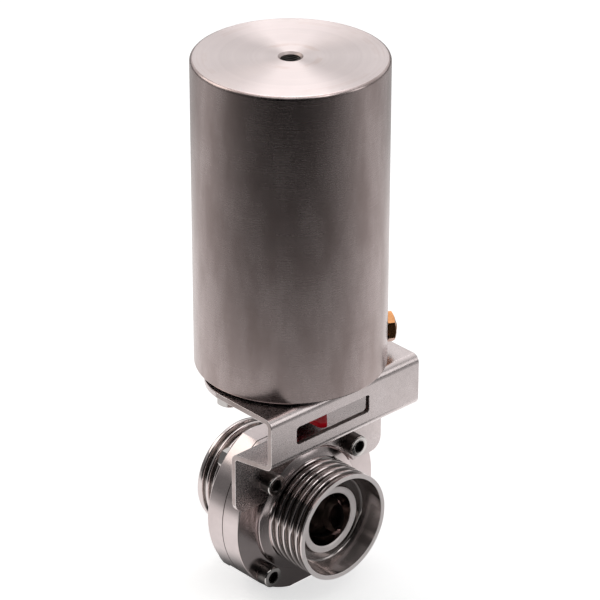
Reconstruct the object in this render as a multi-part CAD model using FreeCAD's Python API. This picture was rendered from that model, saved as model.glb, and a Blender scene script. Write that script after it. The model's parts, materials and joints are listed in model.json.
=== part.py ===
import FreeCAD, Part
import math
import os
from FreeCAD import Vector as V, Rotation

os.makedirs("parts", exist_ok=True)

# Sanitary butterfly valve: threaded body halves, folded bracket, spring-return actuator.
# Millimetres. Working frame: pipe axis is Y, stem axis is Z, both through the disc centre.
# X runs along the bracket. Everything is exported moved by PORT_FACE along Y, so that the
# written parts have their origin at the centre of the front port's end face.

# Standard sizes
PIPE_BORE_R = 13.0
THREAD_R = 26.0
M6_HOLE_R = 3.3
M6_SHANK_R = 3.0
M6_HEAD_R = 5.0
M6_HEAD_H = 6.0
M6_HEAD_CHAMFER = 0.5
M6_SOCKET_AF = 5.0
M6_SOCKET_DEPTH = 3.0
M6_NUT_AF = 10.0
M6_NUT_H = 5.0
M6_HEX_H = 4.0
M6_HEX_TURNED_R = 5.3
M6_POINT = 1.2
M4_R = 2.0
M4_HEAD_R = 3.2
M4_HEAD_H = 2.4
WASHER_R = 6.0
WASHER_T = 1.6
AIR_HOLE_R = 4.4
AIR_HOLE_CHAMFER = 1.0
AIR_STUB_R = 4.8

# Clearances
RUN = 0.05
PARTING = 0.3
SLOT_PLAY = 0.4
O_RING_PLAY = 0.1

# Driving radii of the body and of the actuator
OUTLINE_R = 42.0
CYL_R = 43.5

# Valve body
PORT_FACE = 35.4
HALF_T = 10.3
OUTLINE_DZ = 1.5
TOP_CUT = 3.8
TOP_FLAT = OUTLINE_R - TOP_CUT
BOTTOM_CUT = 2.7
BOTTOM_FLAT = BOTTOM_CUT - OUTLINE_R
RIM_CHAMFER = 0.6
SCREW_EDGE = 6.3
SCREW_CIRCLE_R = OUTLINE_R - SCREW_EDGE
SCREW_ANGLE = 44.2
SCREW_X = SCREW_CIRCLE_R * math.cos(math.radians(SCREW_ANGLE))
SCREW_Z = SCREW_CIRCLE_R * math.sin(math.radians(SCREW_ANGLE))
BOSS_GAP = 0.5
BOSS_R = SCREW_CIRCLE_R - M6_HEAD_R - BOSS_GAP
BOSS_H = 1.6
BOSS_Y = HALF_T + BOSS_H
NECK_H = 2.9
NECK_Y = HALF_T + NECK_H
NECK_FILLET = 0.9
MOUTH_WALL = 2.15
MOUTH_R = THREAD_R - MOUTH_WALL
MOUTH_TAPER = 2.65
MOUTH_FLOOR_R = MOUTH_R - MOUTH_TAPER
LIP_WALL = 3.3
LIP_R = PIPE_BORE_R + LIP_WALL
LIP_DEPTH = 8.55
FLOOR_STEP = 2.05
FLOOR_DEPTH = LIP_DEPTH + FLOOR_STEP
BORE_CHAMFER = 0.8
SEAL_WALL = 6.5
SEAL_R = PIPE_BORE_R + SEAL_WALL
SEAL_HALF = 4.2
SEAL_INWARD = 0.35
SEAL_IN_R = PIPE_BORE_R - SEAL_INWARD
SEAL_BEVEL = 0.9

# Disc and stem
DISC_R = SEAL_IN_R - RUN
DISC_RIM_HALF = 1.4
DISC_HUB_HALF = 4.3
DISC_HUB_EDGE = 0.6
DISC_HUB_WALL = 0.8
STEM_R = 4.0
STEM_SQ = 6.0
BUSH_WALL = 3.0
BUSH_R = STEM_R + BUSH_WALL
BUSH_GAP = 0.1
UPPER_BUSH_Z0 = SEAL_R + BUSH_GAP
BUSH_SINK = 0.6
UPPER_BUSH_Z1 = TOP_FLAT - BUSH_SINK
LOWER_BUSH_FLOOR = 7.3
LOWER_BUSH_Z0 = BOTTOM_FLAT + LOWER_BUSH_FLOOR
LOWER_BUSH_Z1 = -SEAL_R - BUSH_GAP
STEM_O_RING_R = 0.8
STEM_O_RING_DROP = 7.6
STEM_O_RING_Z = UPPER_BUSH_Z1 - STEM_O_RING_DROP
STEM_END_GAP = 1.0
STEM_BOTTOM = LOWER_BUSH_Z0 + STEM_END_GAP

# Bracket
SHEET = 2.5
BEND_R = 4.0
BRACKET_MARGIN = 1.7
HALF_L = CYL_R + BRACKET_MARGIN
WEB_Y = -36.6
PLATE_RISE = 34.4
PLATE_TOP = TOP_FLAT + PLATE_RISE
PLATE_REAR = 25.0
PLATE_CORNER_R = 18.0
FLANGE_RISE = 7.9
FLANGE_TOP_AT_TAB = TOP_FLAT + FLANGE_RISE
FLANGE_SLOPE = 9.5
TAB_DROP = 10.4
TAB_BOTTOM = SCREW_Z - TAB_DROP
TAB_CORNER_R = 6.5
TAB_GAP = 0.8
TAB_CUT_R = BOSS_R + TAB_GAP
WINDOW_LEFT = 15.1
WINDOW_X0 = WINDOW_LEFT - HALF_L
WINDOW_RIGHT = 31.1
WINDOW_X1 = HALF_L - WINDOW_RIGHT
WINDOW_DROP = 8.55
WINDOW_Z1 = PLATE_TOP - WINDOW_DROP
WINDOW_H = 8.65
WINDOW_Z0 = WINDOW_Z1 - WINDOW_H
WINDOW_R = 1.6
PLATE_HOLE_R = 11.0

# Coupling and pointer
COUPLING_RISE = 6.4
COUPLING_Z0 = TOP_FLAT + COUPLING_RISE
COUPLING_DROP = 5.0
COUPLING_Z1 = PLATE_TOP - COUPLING_DROP
COUPLING_R = 9.0
SHOULDER_W = 1.5
SHOULDER_R = COUPLING_R + SHOULDER_W
STEM_TENON_H = 12.4
STEM_TOP = COUPLING_Z0 + STEM_TENON_H
TENON_GAP = 1.6
SHAFT_BOTTOM = STEM_TOP + TENON_GAP
POINTER_DROP = 1.2
POINTER_Z = WINDOW_Z0 - POINTER_DROP
POINTER_T = 2.4
POINTER_HUB_W = 4.0
POINTER_HUB_R = COUPLING_R + POINTER_HUB_W
POINTER_COLLAR_W = 2.0
POINTER_COLLAR_R = COUPLING_R + POINTER_COLLAR_W
POINTER_COLLAR_H = 6.0
POINTER_LEFT = -11.2
POINTER_GAP = 1.5
POINTER_TIP_Y = WEB_Y + SHEET + POINTER_GAP
POINTER_TIP_W = 3.0
POINTER_TIP_EDGE = 0.9
POINTER_TIP_BACK = 2.6
POINTER_TIP_BEVEL = 0.6
POINTER_FLANK_X = 9.8
POINTER_FLANK_Y = 7.3
POINTER_ROOT_IN = 1.0
POINTER_ROOT_RIGHT_Y = -5.0
POINTER_ROOT_LEFT_Y = -6.6

# Actuator housing
CYL_WALL = 2.0
CYL_IN_R = CYL_R - CYL_WALL
CYL_LIFT = 1.2
CYL_BOTTOM = PLATE_TOP + CYL_LIFT
ACTUATOR_H = 148.0
CYL_TOP = PLATE_TOP + ACTUATOR_H
HEAD_T = 10.0
TOP_EDGE_R = 1.6
CYL_BOTTOM_CHAMFER = 0.4
LOCK_WIRE_R = 0.95
LOCK_WIRE_RISE = 2.6
LOCK_WIRE_Z = CYL_BOTTOM + LOCK_WIRE_RISE
LOCK_WIRE_GAP = 4.0
BASE_FOOT_STEP = 0.9
BASE_FOOT_R = CYL_IN_R - BASE_FOOT_STEP
BRACKET_BOLT_EDGE = 4.5
BRACKET_BOLT_R = CYL_IN_R - BRACKET_BOLT_EDGE
BRACKET_BOLT_DEPTH = 9.0
BREATHER_RISE = 10.2
BREATHER_Z = CYL_BOTTOM + BREATHER_RISE
BREATHER_ANGLE = -30.0
BREATHER_AF = 13.0
BREATHER_HEX_H = 5.2
BREATHER_DOME_R = 5.2
BREATHER_DOME_OUT = 1.1
BREATHER_HOLE_R = 2.0
BREATHER_DEPTH = 2.6
BREATHER_SEAT_R = CYL_IN_R - BREATHER_DEPTH
VENT_R = 1.9
VENT_EDGE = 5.1
VENT_PLACE_R = CYL_IN_R - VENT_EDGE
BASE_O_RING_R = 1.3
BASE_O_RING_RISE = 2.8
BASE_O_RING_Z = BREATHER_Z + AIR_STUB_R + BASE_O_RING_RISE
BASE_LAND = 3.4
BASE_TOP = BASE_O_RING_Z + BASE_LAND

# Actuator shaft
SHAFT_R = 8.0
SHAFT_SQ = 10.0
BUSHING_WALL = 2.0
BUSHING_R = SHAFT_R + BUSHING_WALL
BUSHING_FLOOR = 5.4
BUSHING_SEAT_Z = PLATE_TOP + BUSHING_FLOOR
SHAFT_O_RING_R = 0.97
SHAFT_O_RING_SPACE = 2.2
BUSHING_Z0 = BUSHING_SEAT_Z + SHAFT_O_RING_SPACE
SHAFT_FLANGE_T = 3.7
SPIGOT_H = 6.4
DOWEL_R = 1.5
DOWEL_SINK = 0.2
DOWEL_Z = BASE_TOP + PARTING + SHAFT_FLANGE_T + SPIGOT_H / 2.0

# Piston, sleeves and spring
STROKE = 35.0
PISTON_T = 12.0
HEAD_GAP = 2.6
PISTON_Z1 = CYL_TOP - HEAD_T - HEAD_GAP
PISTON_Z0 = PISTON_Z1 - PISTON_T
PISTON_RECESS_R = 20.0
PISTON_RECESS_DEPTH = 3.0
SEAL_LAND = 1.6
SEAL_GROOVE_Z1 = PISTON_Z1 - SEAL_LAND
SEAL_GROOVE_W = 3.4
SEAL_GROOVE_Z0 = SEAL_GROOVE_Z1 - SEAL_GROOVE_W
SEAL_GROOVE_DEPTH = 3.1
BAND_LAND = 1.4
BAND_GROOVE_Z0 = PISTON_Z0 + BAND_LAND
BAND_GROOVE_W = 4.0
BAND_GROOVE_Z1 = BAND_GROOVE_Z0 + BAND_GROOVE_W
BAND_GROOVE_DEPTH = 1.5
MECHANISM_ROOM = 29.0
ROD_R = CYL_IN_R - MECHANISM_ROOM
CAM_IN_R = ROD_R + PARTING
CAM_WALL = 4.2
CAM_R = CAM_IN_R + CAM_WALL
CROWN_GAP = 1.5
CAM_TOP = PISTON_Z0 - STROKE - CROWN_GAP
SLEEVE_GAP = 0.4
GUIDE_IN_R = CAM_R + SLEEVE_GAP
GUIDE_WALL = 3.1
GUIDE_R = GUIDE_IN_R + GUIDE_WALL
GUIDE_SHORTER = 1.0
GUIDE_TOP = CAM_TOP - GUIDE_SHORTER
GUIDE_FLANGE_H = 3.0
GUIDE_SCREW_PLACE_R = GUIDE_R + M4_HEAD_R + PARTING
PIN_R = 3.0
PIN_OVERHANG = 1.0
PIN_DROP = 9.5
PIN_Z = CAM_TOP - PIN_DROP
ROD_TAIL = 7.0
ROD_END_Z = PIN_Z - ROD_TAIL
ROLLER_R = 4.0
WIRE_R = 2.6
SPRING_ROOM = 10.3
SPRING_R = CYL_IN_R - SPRING_ROOM
SPRING_TURNS = 7.5
SPRING_SIDE_GAP = 1.2
GUIDE_FLANGE_R = SPRING_R - WIRE_R - SPRING_SIDE_GAP

# Tool lengths that only have to reach past the solid they cut
PAST = 1.0
FAR = 60.0


# Basic shapes
def cyl(r, z0, z1, x=0.0, y=0.0):
    return Part.makeCylinder(r, z1 - z0, V(x, y, z0), V(0, 0, 1))


def ycyl(r, y0, y1, x=0.0, z=0.0):
    return Part.makeCylinder(r, y1 - y0, V(x, y0, z), V(0, 1, 0))


def xcyl(r, x0, x1, z, y=0.0):
    return Part.makeCylinder(r, x1 - x0, V(x0, y, z), V(1, 0, 0))


def tube(r_out, r_in, z0, z1):
    return cyl(r_out, z0, z1).cut(cyl(r_in, z0 - PAST, z1 + PAST))


def box(x0, x1, y0, y1, z0, z1):
    return Part.makeBox(x1 - x0, y1 - y0, z1 - z0, V(x0, y0, z0))


def polygon(points):
    return Part.Face(Part.makePolygon(points + [points[0]]))


def revolve_y(points):
    # points are (radius, y) pairs, turned about the pipe axis
    face = polygon([V(r, y, 0) for r, y in points])
    return face.revolve(V(0, 0, 0), V(0, 1, 0), 360)


def revolve_z(points):
    # points are (radius, z) pairs, turned about the stem axis
    face = polygon([V(r, 0, z) for r, z in points])
    return face.revolve(V(0, 0, 0), V(0, 0, 1), 360)


def hexagon(af, height, turn=0.0):
    r = af / math.sqrt(3.0)
    corners = []
    for i in range(6):
        a = math.radians(60 * i + turn)
        corners.append(V(r * math.cos(a), r * math.sin(a), 0))
    return polygon(corners).extrude(V(0, 0, height))


def square(width, z0, z1):
    h = width / 2.0
    return box(-h, h, -h, h, z0, z1)


def mirror_y(shape):
    return shape.mirror(V(0, 0, 0), V(0, 1, 0))


def fuse_all(shapes):
    out = shapes[0]
    for s in shapes[1:]:
        out = out.fuse(s)
    return out.removeSplitter()


def edges_near(shape, test):
    return [e for e in shape.Edges if test(e)]


# Valve body
def screw_places():
    return [(sx * SCREW_X, sz * SCREW_Z) for sx in (-1, 1) for sz in (-1, 1)]


def body_outline(y0, y1):
    disc = ycyl(OUTLINE_R, y0, y1, 0.0, OUTLINE_DZ)
    window = box(-FAR, FAR, y0 - PAST, y1 + PAST, BOTTOM_FLAT, TOP_FLAT)
    return disc.common(window)


def body_half():
    plate = body_outline(-HALF_T, 0.0)
    rim = edges_near(plate, lambda e: abs(e.CenterOfMass.y + HALF_T) < 0.01)
    plate = plate.makeChamfer(RIM_CHAMFER, rim)
    inside = -SEAL_HALF
    neck = revolve_y([
        (0, inside), (0, -PORT_FACE), (THREAD_R, -PORT_FACE), (THREAD_R, -NECK_Y - NECK_FILLET / 2),
        (THREAD_R + NECK_FILLET, -NECK_Y), (BOSS_R - NECK_FILLET, -BOSS_Y - NECK_FILLET / 4),
        (BOSS_R, -BOSS_Y + NECK_FILLET / 2), (BOSS_R, inside)])
    half = plate.fuse(neck).removeSplitter()
    half = half.cut(ycyl(PIPE_BORE_R, -PORT_FACE - PAST, PAST))
    floor_y = -PORT_FACE + FLOOR_DEPTH
    lip_y = -PORT_FACE + LIP_DEPTH
    edge = BORE_CHAMFER
    mouth = revolve_y([
        (0, -PORT_FACE - PAST), (MOUTH_R, -PORT_FACE - PAST), (MOUTH_R, -PORT_FACE),
        (MOUTH_FLOOR_R + edge / 2, floor_y - 1.5 * edge), (MOUTH_FLOOR_R - edge, floor_y),
        (LIP_R + edge, floor_y), (LIP_R, floor_y - edge),
        (LIP_R, lip_y + 0.75 * edge), (LIP_R - 0.75 * edge, lip_y),
        (PIPE_BORE_R + edge, lip_y), (PIPE_BORE_R, lip_y + edge), (0, lip_y + edge)])
    half = half.cut(mouth)
    half = half.cut(ycyl(SEAL_R, -SEAL_HALF, PAST))
    half = half.cut(cyl(BUSH_R, PIPE_BORE_R / 2, TOP_FLAT + PAST))
    half = half.cut(cyl(BUSH_R, LOWER_BUSH_Z0, -PIPE_BORE_R / 2))
    for x, z in screw_places():
        half = half.cut(ycyl(M6_HOLE_R, -HALF_T - PAST, PAST, x, z))
    return half


def seal_ring():
    edge = PIPE_BORE_R
    bevel_y = SEAL_HALF - SEAL_BEVEL
    ring = revolve_y([
        (SEAL_IN_R, -bevel_y), (edge, -SEAL_HALF), (SEAL_R, -SEAL_HALF),
        (SEAL_R, SEAL_HALF), (edge, SEAL_HALF), (SEAL_IN_R, bevel_y)])
    return ring.cut(cyl(STEM_R + RUN, -SEAL_R - PAST, SEAL_R + PAST))


def bush(z0, z1):
    b = tube(BUSH_R, STEM_R + RUN, z0, z1)
    # both bushes start on the curved outside of the seal ring
    return b.cut(ycyl(SEAL_R, -SEAL_HALF, SEAL_HALF))


def stem_o_ring():
    r = STEM_O_RING_R
    return Part.makeTorus(STEM_R + RUN + r, r, V(0, 0, STEM_O_RING_Z), V(0, 0, 1))


def upper_bush():
    b = bush(UPPER_BUSH_Z0, UPPER_BUSH_Z1)
    half = STEM_O_RING_R + O_RING_PLAY
    groove = tube(STEM_R + RUN + 2 * STEM_O_RING_R, STEM_R - PAST, STEM_O_RING_Z - half, STEM_O_RING_Z + half)
    return b.cut(groove)


def lower_bush():
    return bush(LOWER_BUSH_Z0, LOWER_BUSH_Z1)


def disc_with_stem():
    nose = DISC_HUB_HALF - DISC_HUB_EDGE
    lens = revolve_y([
        (0, -DISC_HUB_HALF), (STEM_R, -nose), (DISC_R + PAST, -DISC_RIM_HALF),
        (DISC_R + PAST, DISC_RIM_HALF), (STEM_R, nose), (0, DISC_HUB_HALF)])
    hub = cyl(STEM_R + DISC_HUB_WALL, -DISC_R, DISC_R)
    ball = Part.makeSphere(DISC_R)
    body = lens.fuse(hub).common(ball)
    stem = cyl(STEM_R, STEM_BOTTOM, COUPLING_Z0)
    tenon = square(STEM_SQ, COUPLING_Z0 - PAST, STEM_TOP).common(cyl(STEM_R, COUPLING_Z0 - PAST, STEM_TOP))
    return fuse_all([body, stem, tenon])


def socket_screw(x, z, under_head, length):
    # axis along +Y, head towards the viewer's side (-Y)
    head = ycyl(M6_HEAD_R, under_head - M6_HEAD_H, under_head, x, z)
    front = under_head - M6_HEAD_H
    top_edge = edges_near(head, lambda e: abs(e.CenterOfMass.y - front) < 0.01)
    head = head.makeChamfer(M6_HEAD_CHAMFER, top_edge)
    shank = ycyl(M6_SHANK_R, under_head - PAST, under_head + length, x, z)
    socket = hexagon(M6_SOCKET_AF, M6_SOCKET_DEPTH + PAST)
    socket.rotate(V(0, 0, 0), V(1, 0, 0), -90)
    socket.translate(V(x, front - PAST, z))
    return head.fuse(shank).cut(socket)


def body_screws():
    out = []
    for x, z in screw_places():
        seat = -HALF_T
        if z > 0:
            seat = -HALF_T - SHEET
        length = HALF_T - seat + M6_NUT_H + M6_POINT
        out.append(socket_screw(x, z, seat, length))
    return out


def body_nuts():
    out = []
    for x, z in screw_places():
        nut = hexagon(M6_NUT_AF, M6_NUT_H)
        nut = nut.cut(cyl(M6_SHANK_R, -PAST, M6_NUT_H + PAST))
        nut.rotate(V(0, 0, 0), V(1, 0, 0), -90)
        nut.translate(V(x, HALF_T, z))
        out.append(nut)
    return out


# Bracket
def sheet_path():
    # outer corners of the folded sheet as (y, z), from the plate's rear edge to the tab's end
    slope = math.tan(math.radians(FLANGE_SLOPE))
    tab_front = -HALF_T - SHEET
    flange_bottom = FLANGE_TOP_AT_TAB - SHEET / math.cos(math.radians(FLANGE_SLOPE))
    web_corner_z = flange_bottom + (tab_front - WEB_Y) * slope
    return [(PLATE_REAR, PLATE_TOP), (WEB_Y, PLATE_TOP), (WEB_Y, web_corner_z),
            (tab_front, flange_bottom), (tab_front, TAB_BOTTOM)]


def offset_left(path, distance):
    # mitred offset of an open polyline
    lines = []
    for a, b in zip(path, path[1:]):
        dy = b[0] - a[0]
        dz = b[1] - a[1]
        n = math.hypot(dy, dz)
        shift = (-dz / n * distance, dy / n * distance)
        lines.append(((a[0] + shift[0], a[1] + shift[1]), (dy / n, dz / n)))
    out = [lines[0][0]]
    for (p, d), (q, e) in zip(lines, lines[1:]):
        cross = d[0] * e[1] - d[1] * e[0]
        t = ((q[0] - p[0]) * e[1] - (q[1] - p[1]) * e[0]) / cross
        out.append((p[0] + d[0] * t, p[1] + d[1] * t))
    last = path[-1]
    d = lines[-1][1]
    out.append((last[0] - d[1] * distance, last[1] + d[0] * distance))
    return out


def folded_sheet():
    outer = sheet_path()
    inner = offset_left(outer, SHEET)
    ring = [V(-HALF_L, y, z) for y, z in outer] + [V(-HALF_L, y, z) for y, z in reversed(inner)]
    solid = polygon(ring).extrude(V(2 * HALF_L, 0, 0))

    def at(points):
        def test(e):
            c = e.CenterOfMass
            along = abs(c.x) < 0.01 and e.Length > 2 * HALF_L - 0.1
            return along and any(math.hypot(c.y - y, c.z - z) < 0.05 for y, z in points)
        return test

    # the first two bends turn one way, the last bend turns the other way
    convex = [outer[1], outer[2], inner[3]]
    concave = [inner[1], inner[2], outer[3]]
    solid = solid.makeFillet(BEND_R, edges_near(solid, at(convex)))
    solid = solid.makeFillet(BEND_R - SHEET, edges_near(solid, at(concave)))
    return solid


def bracket_bolt_places():
    return [(-BRACKET_BOLT_R, 0.0), (BRACKET_BOLT_R, 0.0)]


def bracket():
    sheet = folded_sheet()
    # rear corners of the top plate
    z0 = PLATE_TOP - 2 * SHEET
    z1 = PLATE_TOP + SHEET
    trim = box(-FAR, FAR, PLATE_REAR - PLATE_CORNER_R, FAR, z0, z1)
    keep = []
    for sx in (-1, 1):
        keep.append(cyl(PLATE_CORNER_R, z0, z1,
                        sx * (HALF_L - PLATE_CORNER_R), PLATE_REAR - PLATE_CORNER_R))
    middle = box(PLATE_CORNER_R - HALF_L, HALF_L - PLATE_CORNER_R, -FAR, FAR, z0, z1)
    sheet = sheet.cut(trim.cut(fuse_all(keep + [middle])))
    sheet = sheet.cut(cyl(PLATE_HOLE_R, z0, z1))
    for x, y in bracket_bolt_places():
        sheet = sheet.cut(cyl(M6_HOLE_R, z0, z1, x, y))
    # window in the web
    win = box(WINDOW_X0, WINDOW_X1, WEB_Y - SHEET, WEB_Y + 2 * SHEET, WINDOW_Z0, WINDOW_Z1)
    corners = edges_near(win, lambda e: abs(abs(e.tangentAt(e.FirstParameter).y) - 1) < 0.01)
    sheet = sheet.cut(win.makeFillet(WINDOW_R, corners))
    # tab: cut-out round the port boss, screw holes, rounded lower corners
    y0 = -HALF_T - 2 * SHEET
    y1 = -HALF_T + SHEET
    sheet = sheet.cut(ycyl(TAB_CUT_R, y0, y1))
    for x, z in screw_places():
        if z > 0:
            sheet = sheet.cut(ycyl(M6_HOLE_R, y0, y1, x, z))
    for sx in (-1, 1):
        cx = sx * (HALF_L - TAB_CORNER_R)
        cz = TAB_BOTTOM + TAB_CORNER_R
        block = box(min(cx, sx * FAR), max(cx, sx * FAR), y0, y1, TAB_BOTTOM - PAST, cz)
        sheet = sheet.cut(block.cut(ycyl(TAB_CORNER_R, y0 - PAST, y1 + PAST, cx, cz)))
    return sheet


def bracket_bolts():
    out = []
    under = PLATE_TOP - SHEET - WASHER_T
    for x, y in bracket_bolt_places():
        head = hexagon(M6_NUT_AF, M6_HEX_H, 30.0)
        head = head.common(cyl(M6_HEX_TURNED_R, 0, M6_HEX_H))
        head.translate(V(x, y, under - M6_HEX_H))
        shank = cyl(M6_SHANK_R, under - PAST, PLATE_TOP + BRACKET_BOLT_DEPTH, x, y)
        out.append(head.fuse(shank))
    return out


def bracket_washers():
    out = []
    z1 = PLATE_TOP - SHEET
    for x, y in bracket_bolt_places():
        w = cyl(WASHER_R, z1 - WASHER_T, z1, x, y)
        out.append(w.cut(cyl(M6_SHANK_R + PARTING, z1 - SHEET, z1 + PAST, x, y)))
    return out


# Coupling and pointer
def coupling():
    low = cyl(SHOULDER_R, COUPLING_Z0, POINTER_Z)
    high = cyl(COUPLING_R, POINTER_Z - PAST, COUPLING_Z1)
    body = low.fuse(high).removeSplitter()
    body = body.cut(square(STEM_SQ, COUPLING_Z0 - PAST, STEM_TOP + SLOT_PLAY))
    return body.cut(square(SHAFT_SQ, SHAFT_BOTTOM - SLOT_PLAY, COUPLING_Z1 + PAST))


def pointer():
    # a hub with a tapered finger: left side square to the web, right side slanting to the tip
    left = POINTER_LEFT
    tip = POINTER_TIP_Y
    edge = POINTER_TIP_EDGE
    bevel = POINTER_TIP_BEVEL
    plan = [(left, tip + POINTER_TIP_BACK), (left + edge, tip + edge), (left + POINTER_TIP_W, tip),
            (left + POINTER_TIP_W + bevel, tip + bevel), (left + POINTER_FLANK_X, tip + POINTER_FLANK_Y),
            (POINTER_HUB_R - POINTER_ROOT_IN, POINTER_ROOT_RIGHT_Y), (0.0, 0.0), (left, POINTER_ROOT_LEFT_Y)]
    finger = polygon([V(x, y, POINTER_Z) for x, y in plan]).extrude(V(0, 0, POINTER_T))
    hub = cyl(POINTER_HUB_R, POINTER_Z, POINTER_Z + POINTER_T)
    collar = cyl(POINTER_COLLAR_R, POINTER_Z, POINTER_Z + POINTER_COLLAR_H)
    flag = fuse_all([finger, hub, collar])
    return flag.cut(cyl(COUPLING_R, POINTER_Z - PAST, POINTER_Z + POINTER_COLLAR_H + PAST))


# Actuator housing
def breather_frame(shape):
    # shapes are drawn along +X and turned to the breather's direction
    shape.rotate(V(0, 0, 0), V(0, 0, 1), BREATHER_ANGLE)
    return shape


def ring_groove(z, wire_r, depth_in, depth_out):
    # a groove for a ring of round section where the base meets the cylinder
    half = wire_r + O_RING_PLAY
    return tube(CYL_IN_R + depth_out, CYL_IN_R - depth_in, z - half, z + half)


def actuator_cylinder():
    outer = cyl(CYL_R, CYL_BOTTOM, CYL_TOP)
    top = edges_near(outer, lambda e: abs(e.CenterOfMass.z - CYL_TOP) < 0.01)
    outer = outer.makeFillet(TOP_EDGE_R, top)
    low = edges_near(outer, lambda e: abs(e.CenterOfMass.z - CYL_BOTTOM) < 0.01)
    outer = outer.makeChamfer(CYL_BOTTOM_CHAMFER, low)
    body = outer.cut(cyl(CYL_IN_R, CYL_BOTTOM - PAST, CYL_TOP - HEAD_T))
    body = body.cut(ring_groove(LOCK_WIRE_Z, LOCK_WIRE_R, PAST, LOCK_WIRE_R + O_RING_PLAY))
    body = body.cut(cyl(AIR_HOLE_R, CYL_TOP - HEAD_T - PAST, CYL_TOP + PAST))
    c = AIR_HOLE_CHAMFER
    chamfer = revolve_z([(0, CYL_TOP + c), (AIR_HOLE_R + 2 * c, CYL_TOP + c),
                         (AIR_HOLE_R, CYL_TOP - c), (0, CYL_TOP - c)])
    body = body.cut(chamfer)
    side = xcyl(AIR_STUB_R, CYL_IN_R - 3 * PAST, CYL_R + 3 * PAST, BREATHER_Z)
    return body.cut(breather_frame(side))


def actuator_base():
    base = cyl(CYL_IN_R, CYL_BOTTOM, BASE_TOP)
    base = base.fuse(cyl(BASE_FOOT_R, PLATE_TOP, CYL_BOTTOM + PAST)).removeSplitter()
    base = base.cut(ring_groove(LOCK_WIRE_Z, LOCK_WIRE_R, LOCK_WIRE_R + O_RING_PLAY, PAST))
    base = base.cut(ring_groove(BASE_O_RING_Z, BASE_O_RING_R, 2 * BASE_O_RING_R, PAST))
    base = base.cut(cyl(SHAFT_R + 2 * PARTING, PLATE_TOP - PAST, BASE_TOP + PAST))
    base = base.cut(cyl(BUSHING_R, BUSHING_SEAT_Z, BASE_TOP + PAST))
    for x, y in bracket_bolt_places():
        base = base.cut(cyl(M6_SHANK_R, PLATE_TOP - PAST, PLATE_TOP + BRACKET_BOLT_DEPTH + M6_POINT, x, y))
    socket = xcyl(AIR_STUB_R, VENT_PLACE_R - VENT_R, CYL_IN_R + PAST, BREATHER_Z)
    vent = cyl(VENT_R, BREATHER_Z, BASE_TOP + PAST, VENT_PLACE_R, 0.0)
    base = base.cut(breather_frame(socket.fuse(vent)))
    for x, y in guide_screw_places():
        base = base.cut(cyl(M4_R, guide_screw_end() - PARTING, BASE_TOP + PAST, x, y))
    return base


def lock_wire():
    # a round wire that locks the base in the cylinder, cut through so that it can be sprung in
    ring = Part.makeTorus(CYL_IN_R, LOCK_WIRE_R, V(0, 0, LOCK_WIRE_Z), V(0, 0, 1))
    gap = box(-LOCK_WIRE_GAP, LOCK_WIRE_GAP, 0.0, FAR, LOCK_WIRE_Z - 3 * LOCK_WIRE_R, LOCK_WIRE_Z + 3 * LOCK_WIRE_R)
    return ring.cut(gap)


def base_o_ring():
    r = BASE_O_RING_R
    return Part.makeTorus(CYL_IN_R - r, r, V(0, 0, BASE_O_RING_Z), V(0, 0, 1))


def breather():
    face = CYL_R + PARTING
    stub = xcyl(AIR_STUB_R, BREATHER_SEAT_R, face + PAST, BREATHER_Z)
    head = hexagon(BREATHER_AF, BREATHER_HEX_H, 30.0)
    head.rotate(V(0, 0, 0), V(0, 1, 0), 90)
    head.translate(V(face, 0, BREATHER_Z))
    dome = Part.makeSphere(BREATHER_DOME_R + PAST, V(face + BREATHER_DOME_OUT, 0, BREATHER_Z))
    dome = dome.common(xcyl(BREATHER_DOME_R, face + PAST, face + FAR, BREATHER_Z))
    body = fuse_all([stub, head, dome])
    body = body.cut(xcyl(BREATHER_HOLE_R, BREATHER_SEAT_R - PAST, face + 2 * PAST, BREATHER_Z))
    return breather_frame(body)


def shaft_bushing():
    return tube(BUSHING_R, SHAFT_R + RUN, BUSHING_Z0, BASE_TOP)


def shaft_o_ring():
    r = SHAFT_O_RING_R
    return Part.makeTorus(BUSHING_R - r, r, V(0, 0, (BUSHING_SEAT_Z + BUSHING_Z0) / 2), V(0, 0, 1))


# Actuator mechanism
def both_sides(r0, r1, r, z):
    # a pair of round bars along X, from radius r0 to r1 on either side of the stem axis
    return [xcyl(r, min(sx * r0, sx * r1), max(sx * r0, sx * r1), z) for sx in (-1, 1)]


def output_shaft():
    flange_z = BASE_TOP + PARTING
    spigot_z = flange_z + SHAFT_FLANGE_T
    rod = cyl(SHAFT_R, COUPLING_Z1 + 4 * PARTING, flange_z + PAST)
    tenon = square(SHAFT_SQ, SHAFT_BOTTOM, COUPLING_Z1 + 4 * PARTING + PAST)
    tenon = tenon.common(cyl(SHAFT_R, SHAFT_BOTTOM - PAST, PLATE_TOP))
    flange = cyl(CAM_R, flange_z, spigot_z)
    spigot = cyl(CAM_IN_R, flange_z + PAST, spigot_z + SPIGOT_H)
    body = fuse_all([rod, tenon, flange, spigot])
    for hole in both_sides(CAM_IN_R / 2, CAM_R, DOWEL_R, DOWEL_Z):
        body = body.cut(hole)
    return body


def sleeve_dowels():
    return both_sides(CAM_IN_R / 2, CAM_R - DOWEL_SINK, DOWEL_R, DOWEL_Z)


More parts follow.
